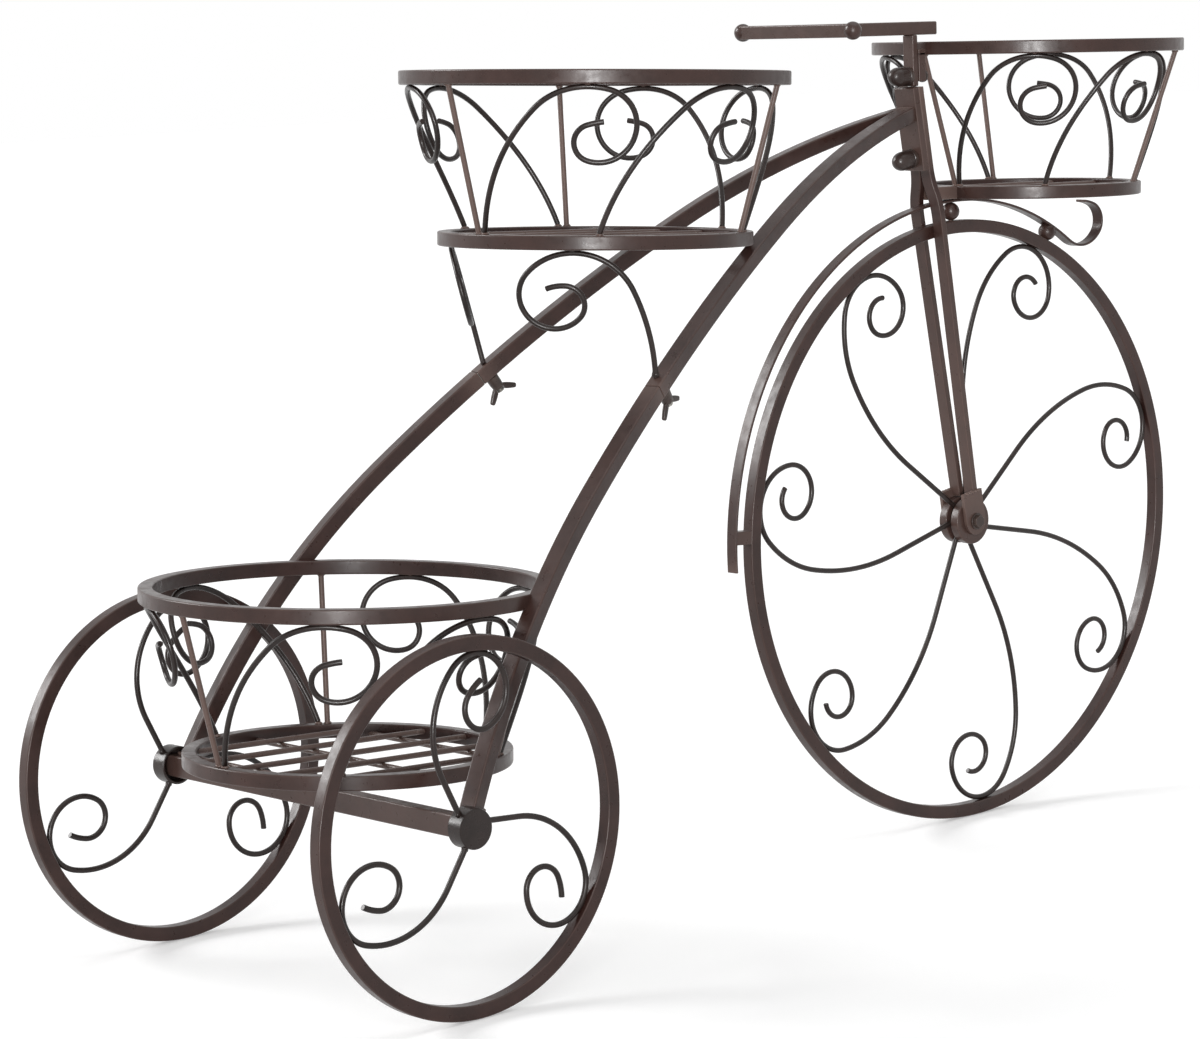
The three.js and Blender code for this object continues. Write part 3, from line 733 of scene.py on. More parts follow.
class Bench:
    """Adds nodes to a node tree and links them."""

    def __init__(self, tree: bpy.types.NodeTree) -> None:
        """Starts with a tree."""
        self.tree = tree
        self.nodes = tree.nodes

    def link(self, source: bpy.types.NodeSocket, target: bpy.types.NodeSocket) -> None:
        """Links an output to an input."""
        self.tree.links.new(source, target)

    def cloud(self, size: float, detail: float) -> bpy.types.NodeSocket:
        """Makes a noise in the object's own coordinates.

        Args:
            size: The size of its features, in millimetres.
            detail: How many finer layers it has.

        Returns:
            Its value.
        """
        texture = self.nodes.new("ShaderNodeTexNoise")
        texture.inputs["Scale"].default_value = 1 / (size * METRES)
        texture.inputs["Detail"].default_value = detail
        texture.inputs["Roughness"].default_value = 0.58
        self.link(self.nodes.new("ShaderNodeTexCoord").outputs["Object"], texture.inputs["Vector"])
        return texture.outputs["Fac"]

    def pointiness(self) -> bpy.types.NodeSocket:
        """Finds how convex the surface is."""
        return self.nodes.new("ShaderNodeNewGeometry").outputs["Pointiness"]

    def spread(
        self, source: bpy.types.NodeSocket, given: tuple[float, float], wanted: tuple[float, float]
    ) -> bpy.types.NodeSocket:
        """Maps one range of a value to another, and holds it there.

        Args:
            source: The value.
            given: The range that it has.
            wanted: The range that it gets.

        Returns:
            The new value.
        """
        ranged = self.nodes.new("ShaderNodeMapRange")
        for name, value in zip(("From Min", "From Max", "To Min", "To Max"), given + wanted):
            ranged.inputs[name].default_value = value
        self.link(source, ranged.inputs["Value"])
        return ranged.outputs["Result"]

    def blended(
        self, share: bpy.types.NodeSocket, one: Colour | bpy.types.NodeSocket, other: Colour
    ) -> bpy.types.NodeSocket:
        """Mixes two colours.

        Args:
            share: The other colour's share.
            one: A colour, or the socket that gives it.
            other: The other colour.

        Returns:
            The mixed colour.
        """
        mix = self.nodes.new("ShaderNodeMix")
        mix.data_type = "RGBA"
        self.link(share, mix.inputs["Factor"])
        first, second = (socket for socket in mix.inputs if socket.type == "RGBA")
        if isinstance(one, tuple):
            first.default_value = (*one, 1)
        else:
            self.link(one, first)
        second.default_value = (*other, 1)
        return next(socket for socket in mix.outputs if socket.type == "RGBA")

    def bump(
        self, height: bpy.types.NodeSocket, strength: float, depth: float,
        under: bpy.types.NodeSocket | None = None,
    ) -> bpy.types.NodeSocket:
        """Makes a surface uneven.

        Args:
            height: The pattern.
            strength: How strongly it shows.
            depth: How deep it is, in millimetres.
            under: An uneven surface that this one lies on.

        Returns:
            The surface's normal.
        """
        bump = self.nodes.new("ShaderNodeBump")
        bump.inputs["Strength"].default_value = strength
        bump.inputs["Distance"].default_value = depth * METRES
        self.link(height, bump.inputs["Height"])
        if under is not None:
            self.link(under, bump.inputs["Normal"])
        return bump.outputs["Normal"]

    def seen_directly(self) -> bpy.types.NodeSocket:
        """Tells rays from the camera, or by way of a reflection, from those that light things.

        Returns:
            1 for the first kind and 0 for the second.
        """
        path = self.nodes.new("ShaderNodeLightPath")
        seen = path.outputs["Is Camera Ray"]
        for name in ("Is Glossy Ray", "Is Transmission Ray"):
            either = self.nodes.new("ShaderNodeMath")
            either.operation = "MAXIMUM"
            self.link(seen, either.inputs[0])
            self.link(path.outputs[name], either.inputs[1])
            seen = either.outputs[0]
        return seen


class Workshop:
    """Turns forms into the pieces that stand for the CAD nodes, and coats them."""

    def __init__(self, frame: dict, ahead: float) -> None:
        """Learns which body carries each node.

        Args:
            frame: The loaded CAD frame.
            ahead: How far the rear axle lies ahead of the frame's origin.
        """
        bodies = frame["record"]["behaviour"]["bodies"]
        self.body = {node: name for name, nodes in bodies.items() for node in nodes}
        self.whole = Matrix.Scale(METRES, 4) @ move(ahead, 0, 0)
        self.materials = {finish: coat.material(f"{finish.value}_coat") for finish, coat in COATS.items()}

    def add(self, node: str, finish: Finish, *forms: Form) -> None:
        """Makes the piece that stands for a node.

        Args:
            node: The CAD node.
            finish: Its finish.
            *forms: What it is made of, which is used up.
        """
        mesh = Form().take(*forms).mesh
        bmesh.ops.transform(mesh, matrix=self.whole, verts=mesh.verts)
        bmesh.ops.recalc_face_normals(mesh, faces=mesh.faces)
        data = bpy.data.meshes.new(node)
        mesh.to_mesh(data)
        mesh.free()
        data.shade_smooth()
        data.set_sharp_from_angle(angle=SHARP)
        data.materials.append(self.materials[finish])
        piece = bpy.data.objects.new(f"{node}_fine", data)
        bpy.context.scene.collection.objects.link(piece)
        weighted = piece.modifiers.new("even shading", "WEIGHTED_NORMAL")
        weighted.keep_sharp = True
        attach(piece, self.body[node])
        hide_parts(node)
        LOG.info("%s: %d faces on %s", node, len(data.polygons), self.body[node])


@dataclass(frozen=True)
class Wheel:
    """What the wheels have in common: a rim of square bar and scroll spokes of wire.

    Attributes:
        radius: The rim's outer radius.
        rim_sides: The steps round the rim.
        spokes: The number of spokes.
        root: Where a spoke starts, from the middle.
        heading: The direction in which it starts.
        run_share: The share of its size that it first runs straight.
        bend_shares: Its arcs.
    """

    radius: float
    rim_sides: int
    spokes: int
    root: tuple[float, float]
    heading: float
    run_share: float
    bend_shares: Shares

    def rim(self) -> Form:
        """Makes the rim about Z, with its middle at height zero."""
        return Form().ring(self.radius, SQUARE_BAR, self.rim_sides).placed(move(0, 0, BAR / 2))

    @cached_property
    def line(self) -> BentLine:
        """A spoke's line, scaled so that it reaches the rim.

        Returns:
            The line.
        """
        return fitted(
            lambda size: BentLine.of(
                *self.root, self.heading, Stretch(self.run_share * size), *bends(self.bend_shares, size)
            ),
            lambda place: place.point.length,
            self.radius - BAR - WIRE_RADIUS + 0.2,
        )

    def spoke(self, rooted: bool) -> Form:
        """Bends a spoke and welds it to the rim.

        Args:
            rooted: Whether it is welded at its root too.

        Returns:
            The spoke.
        """
        touch = max(self.line.places(1.0), key=lambda place: place.point.length).point
        spoke = Form().bent(self.line, WIRE)
        spoke.bead(touch * (1 + 0.5 / touch.length), 1.25 * WIRE_RADIUS)
        if rooted:
            spoke.bead(self.line.at(WIRE_RADIUS).point, 1.35 * WIRE_RADIUS)
        return spoke


@dataclass(frozen=True)
class RearWheels:
    """The two rear wheels, whose hubs are cups that take the axle bar's ends."""

    wheel: Wheel = Wheel(
        radius=125, rim_sides=144, spokes=3, root=(11.5, 2.5), heading=-4, run_share=0.266,
        bend_shares=((0.541, -72), (0.23, -199), (0.127, -155), (0.348, -21)),
    )
    track: float = 327
    hub_radius: float = 13.5
    hub_width: float = 13
    hub_wall: float = 1.8
    hub_face: float = 2.2
    bar_depth: float = 10
    bar_height: float = 15

    @property
    def bar_top(self) -> float:
        """The height of the axle bar's top."""
        return self.wheel.radius + self.bar_height / 2

    def hub(self) -> Form:
        """Turns a hub: closed at the top, and hollow below.

        Returns:
            The hub about Z.
        """
        half, outer = self.hub_width / 2, self.hub_radius
        inner, floor = outer - self.hub_wall, half - self.hub_face
        return Form().turned([
            (0, half), (outer - 0.9, half), (outer - 0.25, half - 0.25), (outer, half - 0.9),
            (outer, 0.5 - half), (outer - 0.5, -half), (inner + 0.3, -half), (inner, 0.3 - half),
            (inner, floor), (0, floor),
        ], 64)

    def build(self, workshop: Workshop) -> None:
        """Builds both wheels and the bar between them.

        Args:
            workshop: Where the pieces are made.
        """
        spoke = self.wheel.spoke(rooted=True)
        for side, sign in SIDES:
            wheel = chained(move(0, sign * self.track / 2, self.wheel.radius), turn("X", 90))
            workshop.add(f"rear_rim_{side}", Finish.BAR, self.wheel.rim().placed(wheel))
            outwards = turn("X", 180 if sign > 0 else 0)
            count = self.wheel.spokes
            workshop.add(
                f"rear_hub_and_spokes_{side}", Finish.WIRE, self.hub().placed(wheel @ outwards),
                *(spoke.placed(wheel @ turn("Z", 360 * i / count)) for i in range(count)),
            )
        length = self.track + self.hub_width - 2 * (self.hub_face + GAP)
        bar = Form().block(self.bar_depth, length, self.bar_height, 1.2)
        workshop.add("rear_axle_bar", Finish.BAR, bar.placed(move(0, 0, self.wheel.radius)))


@dataclass(frozen=True)
class FrontWheel:
    """The front wheel, with the two discs, the bolt and the nut that hold its spokes."""

    wheel: Wheel = Wheel(
        radius=234.5, rim_sides=220, spokes=7, root=(9, -3), heading=2.3, run_share=0.31,
        bend_shares=((0.85, -27.5), (0.39, -34.6), (0.149, -133), (0.094, -145), (0.064, -168)),
    )
    wheelbase: float = 642.3
    first_spoke: float = -64.8
    hub_radius: float = 18
    disc_width: float = 7.5
    dropout_thickness: float = 3
    nut_radius: float = 5
    nut_length: float = 4

    @property
    def axle(self) -> Matrix:
        """The frame at the axle's middle."""
        return move(self.wheelbase, 0, self.wheel.radius)

    @property
    def hub_face(self) -> float:
        """From the wheel's middle to a disc's outer face."""
        return WIRE_RADIUS + GAP + self.disc_width

    def build(self, workshop: Workshop) -> None:
        """Builds the rim, the spokes, the discs, the bolt and the nut.

        Args:
            workshop: Where the pieces are made.
        """
        plane = self.axle @ turn("X", 90)
        workshop.add("front_rim", Finish.BAR, self.wheel.rim().placed(plane))
        spoke = self.wheel.spoke(rooted=False)
        for i in range(self.wheel.spokes):
            spun = turn("Z", self.first_spoke + 360 * i / self.wheel.spokes)
            workshop.add(f"front_spoke_{i + 1}", Finish.WIRE, spoke.placed(plane @ spun))
        end = self.hub_face + self.dropout_thickness + 2 * GAP
        for side, sign in SIDES:
            outwards = chained(self.axle, turn("X", -90 * sign))
            disc = Form().prism(self.hub_radius, self.disc_width, 64, 0.8)
            workshop.add(
                f"front_hub_disc_{side}", Finish.BAR,
                disc.placed(outwards @ move(0, 0, self.hub_face - self.disc_width)),
            )
            seat = outwards @ move(0, 0, end)
            head = self.screw_head().placed(seat)
            if sign > 0:
                workshop.add("front_axle_nut", Finish.HARDWARE, head)
            else:
                shank = Form().thread(BOLT_RADIUS, 2 * end + self.nut_length)
                workshop.add("front_axle_bolt", Finish.HARDWARE, head, shank.placed(seat @ turn("X", 180)))

    def screw_head(self) -> Form:
        """Makes a hexagon on a washer.

        Returns:
            The head, from its seat up Z.
        """
        washer = Form().prism(self.nut_radius + 1.4, 1.2, 40, 0.35)
        hexagon = Form().prism(self.nut_radius, self.nut_length - 0.9, 6, 0.5)
        return washer.take(hexagon.placed(move(0, 0, 0.9)))


@dataclass(frozen=True)
class Fender:
    """The strip over the front wheel, its clip and the two balls under it."""

    front: FrontWheel
    gap: float = 14.3
    strip: Stock = Stock(10, 2, 0.7)
    start: float = 182.2
    sweep: float = 94.5
    tail_shares: Shares = ((0.86, -33), (0.108, 83.4), (0.058, 110), (0.169, 16))
    clip_angle: float = 176.3
    ball_angles: tuple[float, float] = (91.6, 64.6)

    @property
    def radius(self) -> float:
        """From the axle to the strip's middle."""
        return self.front.wheel.radius + self.gap + self.strip.depth / 2

    def build(self, workshop: Workshop) -> None:
        """Builds the strip with its clip, and the balls.

        Args:
            workshop: Where the pieces are made.
        """
        plane = self.front.axle @ turn("X", 90)
        sweep, rim = math.radians(self.sweep), self.front.wheel.radius
        first = turn("Z", self.start) @ Vector((self.radius, 0, 0))
        line = BentLine.of(
            first.x, first.y, self.start - 90, Stretch(self.radius * sweep, -sweep),
            *bends(self.tail_shares, self.radius),
        )
        height = self.radius - rim + 0.4
        clip = Form().block(height, BAR, BAR)
        middle = chained(plane, turn("Z", self.clip_angle), move(self.radius - height / 2, 0, 0))
        strip = Form().bent(line, self.strip, 0.3)
        workshop.add("fender", Finish.BAR, strip.placed(plane), clip.placed(middle))
        size = (self.radius - self.strip.depth / 2 - rim) / 2
        for i, angle in enumerate(self.ball_angles):
            ball = Form().ball(size - 0.2).bead(Vector((-0.95 * size, 0, 0)), 2.6, 0.6)
            middle = chained(plane, turn("Z", angle), move(rim + size, 0, 0))
            workshop.add(f"fender_ball_{i + 1}", Finish.BAR, ball.placed(middle))


@dataclass(frozen=True)
class Fork:
    """The two fork legs with their dropout plates, the stem and the handlebar."""

    front: FrontWheel
    fender: Fender
    lean: float = 8.49
    ahead: float = 3.9
    bar: Stock = Stock(5.5, 10, 0.9)
    foot_spread: float = 7.4
    foot_clearance: float = 1
    bend_below_fender: float = 8.3
    fender_clearance: float = 1
    bend_radius: float = 62
    above_rim: float = 106
    dropout_radius: float = 10.6
    dropout_lap: float = 6
    stem_width: float = 10.7
    handlebar_rise: float = 38.7
    handlebar_tilt: float = 0.7
    handlebar_reach: float = 120
    handlebar_nose: float = 25
    crossbar_span: float = 115.8
    crossbar_ball: float = 6.7

    @property
    def frame(self) -> Matrix:
        """The fork's plane: X to the left, Y up the lean and Z forwards.

        Returns:
            The plane's frame.
        """
        return chained(
            self.front.axle, move(self.ahead, 0, 0), turn("Y", -self.lean), turn("Z", 90), turn("X", 90)
        )

    @property
    def height(self) -> float:
        """The height of the fork's top in its plane."""
        return self.front.wheel.radius / math.cos(math.radians(self.lean)) + self.above_rim

    @property
    def top(self) -> Vector:
        """The middle of the fork's top."""
        return self.frame @ Vector((0, self.height, 0))

    @property
    def face(self) -> float:
        """From the fork's plane to what is seated on its front or back."""
        return self.bar.width / 2 + GAP

    def leg_line(self, sign: int) -> BentLine:
        """Bends a leg: straight up past the fender, then inwards to its partner.

        Args:
            sign: 1 on the left and -1 on the right.

        Returns:
            Its line in the fork's plane.
        """
        bend_at = self.fender.radius - self.bend_below_fender
        foot = self.front.hub_radius + GAP + self.foot_clearance
        spread = (self.fender.strip.width + self.bar.depth) / 2 + self.fender_clearance
        splay = math.atan((spread - self.foot_spread) / (bend_at - foot))
        inward = spread - self.bar.depth / 2 - GAP
        sweep = math.acos(1 - inward / (2 * self.bend_radius))
        return BentLine.of(
            sign * self.foot_spread, foot, 90 - sign * math.degrees(splay),
            Stretch((bend_at - foot) / math.cos(splay)),
            Stretch(self.bend_radius * (sweep + splay), sign * (sweep + splay)),
            Stretch(self.bend_radius * sweep, -sign * sweep),
            Stretch(self.height - bend_at - 2 * self.bend_radius * math.sin(sweep)),
        )

    def build(self, workshop: Workshop) -> None:
        """Builds the legs, the stem and the handlebar.

        Args:
            workshop: Where the pieces are made.
        """
        across = self.front.hub_face + GAP + self.front.dropout_thickness / 2
        lap = self.front.hub_radius + self.dropout_lap
        top = self.top
        for side, sign in SIDES:
            leg = Form().bent(self.leg_line(sign), self.bar).placed(self.frame)
            leg.cut(top - Vector((0, 0, GAP)), Vector((0, 0, 1)))
            eye = chained(self.front.axle, turn("Y", -self.lean), move(0, sign * across, 0))
            plate = Form().plate(self.dropout_radius, lap, self.front.dropout_thickness)
            for x in (-6, -3, 0, 3, 6):
                leg.bead(eye @ Vector((x, 0.9 * sign, lap - 0.6)), 2.0, 0.7)
            workshop.add(f"fork_leg_{side}", Finish.BAR, leg, plate.placed(eye @ turn("X", 90)))
        stem = Form().block(self.bar.width, self.stem_width, self.handlebar_rise - 0.1)
        workshop.add("stem", Finish.BAR, stem.placed(move(top.x, 0, top.z + self.handlebar_rise / 2)))
        self._handlebar(workshop)

    def _handlebar(self, workshop: Workshop) -> None:
        """Builds the handlebar: a bar backwards, and one across it with two balls.

        Args:
            workshop: Where the pieces are made.
        """
        place = chained(
            move(self.top.x, 0, self.top.z + self.handlebar_rise + BAR / 2), turn("Y", self.handlebar_tilt)
        )
        long = self.handlebar_reach + self.handlebar_nose
        bars = Form().block(long, BAR, BAR, 1.1).placed(place @ move(self.handlebar_nose - long / 2, 0, 0))
        end = place @ move(-self.handlebar_reach, 0, 0)
        cross = Form().block(BAR, self.crossbar_span, BAR, 1.1).placed(end)
        balls = [
            Form().ball(self.crossbar_ball).placed(end @ move(0, sign * self.crossbar_span / 2, 0))
            for _, sign in SIDES
        ]
        for height in (-3, 0, 3):
            for sign in (1, -1):
                bars.bead(end @ Vector((BAR / 2, sign * BAR / 2, height)), 1.5, 0.8)
        workshop.add("handlebar", Finish.BAR, bars, cross, *balls)


@dataclass(frozen=True)
class Head:
    """The plate that the rails are welded to, and two bolts with domed nuts."""

    fork: Fork
    lug_grip: float
    plate_width: float = 20.8
    plate_thickness: float = 6
    plate_below: float = 10
    lower_drop: float = 54
    upper_rise: float = 7.5
    nut_radius: float = 7.3
    nut_length: float = 20
    nut_straight: float = 11
    bolt_head_radius: float = 5
    bolt_head_length: float = 4

    @property
    def back(self) -> float:
        """From the fork's plane to the back of the plate."""
        return self.fork.bar.width / 2 + self.plate_thickness

    def cap_nut(self) -> Form:
        """Turns a domed nut up Z from its seat, with a groove round its collar.

        Returns:
            The nut.
        """
        radius, dome = self.nut_radius, self.nut_length - self.nut_straight
        profile = [
            (BOLT_RADIUS, 0), (radius - 0.4, 0), (radius, 0.5), (radius, 3.2), (radius - 0.4, 3.6),
            (radius - 0.05, 4.1),
        ]
        for i in range(13):
            angle = math.radians(90 * i / 12)
            profile.append((radius * math.cos(angle), self.nut_straight + dome * math.sin(angle)))
        return Form().turned([(0, 0), *profile[:-1], (0, self.nut_length)], 48)

    def build(self, workshop: Workshop) -> None:
        """Builds the plate, the nuts and the bolts.

        Args:
            workshop: Where the pieces are made.
        """
        fork = self.fork
        height, thickness = self.lower_drop + self.plate_below, self.plate_thickness - GAP
        plate = Form().block(self.plate_width, height, thickness, 0.8)
        middle = move(0, fork.height - height / 2, thickness / 2 - self.back)
        workshop.add("head_plate", Finish.BAR, plate.placed(fork.frame @ middle))
        seats = {
            "lower": chained(
                fork.frame, move(0, fork.height - self.lower_drop, -self.back - GAP), turn("Y", 180)
            ),
            "upper": move(fork.top.x - fork.face, 0, fork.top.z + self.upper_rise) @ turn("Y", -90),
        }
        grips = {
            "lower": self.plate_thickness + fork.bar.width + 2 * GAP,
            "upper": fork.bar.width + self.lug_grip + 3 * GAP,
        }
        for name, seat in seats.items():
            workshop.add(f"{name}_cap_nut", Finish.HARDWARE, self.cap_nut().placed(seat))
            grip = grips[name]
            head = Form().prism(self.bolt_head_radius, self.bolt_head_length - 0.2, 40, 1.2)
            shank = Form().thread(BOLT_RADIUS, grip + self.nut_straight)
            workshop.add(
                f"{name}_head_bolt", Finish.HARDWARE,
                head.placed(seat @ move(0, 0, -grip) @ turn("X", 180)),
                shank.placed(seat @ move(0, 0, -grip)),
            )


@dataclass(frozen=True)
class Rails:
    """The two rails from the axle bar to the fork, the spigots inside them and the wing nuts."""

    rear: RearWheels
    fork: Fork
    head: Head
    bar: Stock = Stock(12.3, 11.2, 1.3)
    wall: float = 1.2
    foot_spread: float = 156.1
    foot_ahead: float = 9.4
    head_ahead: float = 3.8
    head_drop: float = 19.1
    bend_shares: Shares = ((0.905, -24.1), (2.486, -10.7), (1.102, -17.8))
    seam_share: float = 0.4506
    spigot_reach: float = 32
    stud_from_seam: float = 9
    stud_tip: float = 3
    nut_radius: float = 4.8
    nut_height: float = 10
    wing_width: float = 4.2
    wing_reach: float = 15
    wing_thickness: float = 3.6
    wing_splay: float = 52

    @cached_property
    def end(self) -> Vector:
        """The point below the fork's top where the two rails' lines meet."""
        return self.fork.top + Vector((self.head_ahead, 0, -self.head_drop))

    def frame(self, sign: int) -> Matrix:
        """Finds the upright plane that a rail lies in.

        Args:
            sign: 1 on the left and -1 on the right.

        Returns:
            The plane's frame.
        """
        toe_in = math.degrees(math.atan2(self.foot_spread, self.end.x))
        return chained(move(0, sign * self.foot_spread, 0), turn("Z", -sign * toe_in), turn("X", 90))

    @cached_property
    def line(self) -> BentLine:
        """A rail's line in its plane, with an overrun below its foot.

        Returns:
            The line.
        """
        first = Vector((self.foot_ahead, self.rear.bar_top))
        last = Vector((math.hypot(self.end.x, self.foot_spread), self.end.z))
        return bent_between(first, last, self.bend_shares, OVERRUN)

    @property
    def seam(self) -> float:
        """The distance along the line at which the two halves meet."""
        return OVERRUN + self.seam_share * (self.line.length - OVERRUN)

    @cached_property
    def middles(self) -> list[Vector]:
        """Points of a rail's line, near each other."""
        return [place.point for place in self.line.places(3)]

    def holds(self, point: Vector, sign: int) -> bool:
        """Says whether a point lies inside a rail.

        Args:
            point: The point.
            sign: 1 on the left and -1 on the right.

        Returns:
            True inside the rail's bar.
        """
        there = self.frame(sign).inverted() @ point
        if abs(there.z) > self.bar.width / 2:
            return False
        there.z = 0
        return min((middle - there).length for middle in self.middles) < self.bar.depth / 2

    def build(self, workshop: Workshop) -> None:
        """Builds the halves of each rail, its spigot with its stud, and its wing nut.

        Args:
            workshop: Where the pieces are made.
        """
        line, seam = self.line, self.seam
        bore = Stock(self.bar.width - 2 * self.wall, self.bar.depth - 2 * self.wall, 0.8)
        behind = self.fork.frame @ Vector((0, self.fork.height, -self.head.back - GAP))
        forwards = self.fork.frame.to_3x3() @ Vector((0, 0, 1))
        foot = Vector((0, 0, self.rear.bar_top))
        for side, sign in SIDES:
            frame = self.frame(sign)
            lower = Form().bent(line.part(0, seam), self.bar).placed(frame).cut(foot, Vector((0, 0, -1)))
            self._weld_foot(lower, frame)
            workshop.add(f"lower_rail_{side}", Finish.BAR, lower)
            upper = Form().bent(line.part(seam + 2 * GAP, line.length), self.bar).placed(frame)
            upper.cut(behind, forwards).cut(Vector((0, sign * GAP / 2, 0)), Vector((0, -sign, 0)))
            workshop.add(f"upper_rail_{side}", Finish.BAR, upper)
            core = Form().bent(line.part(seam - self.spigot_reach, seam + self.spigot_reach), bore)
            stud = chained(frame, line.at(seam + self.stud_from_seam).frame, turn("X", 90))
            seat = self.bar.depth / 2 + 2 * GAP
            thread = Form().thread(BOLT_RADIUS, seat + self.nut_height + self.stud_tip)
            workshop.add(f"rail_spigot_{side}", Finish.STEEL, core.placed(frame), thread.placed(stud))
            nut = self._wing_nut().placed(stud @ move(0, 0, seat))
            workshop.add(f"wing_nut_{side}", Finish.HARDWARE, nut)

    def _weld_foot(self, rail: Form, frame: Matrix) -> None:
        """Lays weld beads round the foot of a rail.

        Args:
            rail: The rail.
            frame: The frame of its plane.
        """
        foot = self.line.at(OVERRUN)
        for along in (-0.62, 0.62):
            for across in (-0.4, -0.13, 0.13, 0.4):
                spot = Vector((foot.x + along * self.bar.depth, foot.y, across * self.bar.width))
                rail.bead(frame @ spot, 1.9, 0.8)

    def _wing_nut(self) -> Form:
        """Makes a wing nut on its seat, with its wings splayed up Z in the XZ plane.

        Returns:
            The nut.
        """
        bore, outer, top = BOLT_RADIUS + GAP, self.nut_radius, self.nut_height
        nut = Form().turned([
            (bore, 0), (outer - 0.4, 0), (outer, 0.4), (outer - 0.2, 0.6 * top), (outer - 0.7, top - 0.4),
            (outer - 1.1, top), (bore, top),
        ], 40, bored=True)
        for sign in (1, -1):
            wing = Form().block(self.wing_width, self.wing_thickness, self.wing_reach, 1.3)
            bmesh.ops.subdivide_edges(
                wing.mesh, cuts=8,
                edges=[edge for edge in wing.mesh.edges if edge.calc_length() > self.wing_reach / 2],
            )
            for vert in wing.mesh.verts:
                share = vert.co.z / self.wing_reach + 0.5
                vert.co.x *= 0.8 + 0.3 * math.sin(math.pi * share)
                vert.co.y *= 1.0 - 0.2 * share
            tilt = chained(move(0, 0, top - self.wing_width / 2), turn("Y", sign * self.wing_splay))
            wing = wing.placed(tilt @ move(0, 0, self.wing_reach / 2))
            nut.take(wing.cut(Vector((sign * (bore + 0.05), 0, 0)), Vector((-sign, 0, 0))))
        return nut


@dataclass(frozen=True)
class Side:
    """The cone that a basket's wires lie on, from its lower ring to its upper ring."""

    low: float
    high: float
    rise: float

    @property
    def slant(self) -> float:
        """The length of the slope."""
        return math.hypot(self.high - self.low, self.rise)

    @property
    def sine(self) -> float:
        """How far the slope leans out, as a sine."""
        return (self.high - self.low) / self.slant

    @property
    def cosine(self) -> float:
        """How far the slope leans out, as a cosine."""
        return self.rise / self.slant

    def rolled(self, flat: Vector) -> Vector:
        """Rolls a point of the flat pattern up.

        Args:
            flat: The point: X runs round the basket, Y up the slope and Z outwards.

        Returns:
            The point, with the lower end of the slope at height zero.
        """
        apex = self.low / self.sine
        reach = math.hypot(flat.x, apex + flat.y)
        angle = math.atan2(flat.x, apex + flat.y) / self.sine
        radius = reach * self.sine + flat.z * self.cosine
        height = (reach - apex) * self.cosine - flat.z * self.sine
        return Vector((radius * math.cos(angle), radius * math.sin(angle), height))

    def roll(self, form: Form) -> Form:
        """Rolls a whole form up.

        Args:
            form: The form, in the flat pattern.

        Returns:
            The same form.
        """
        for vert in form.mesh.verts:
            vert.co = self.rolled(vert.co)
        return form


BROAD_SCROLL = ((1.555, -36.8), (0.474, -64.3), (0.245, -180.8), (0.124, -145.6), (0.54, -11.5))
FRONT_SCROLL = ((1.46, -36), (0.395, -78.4), (0.251, -166.8), (0.136, -161), (1, -4.4))


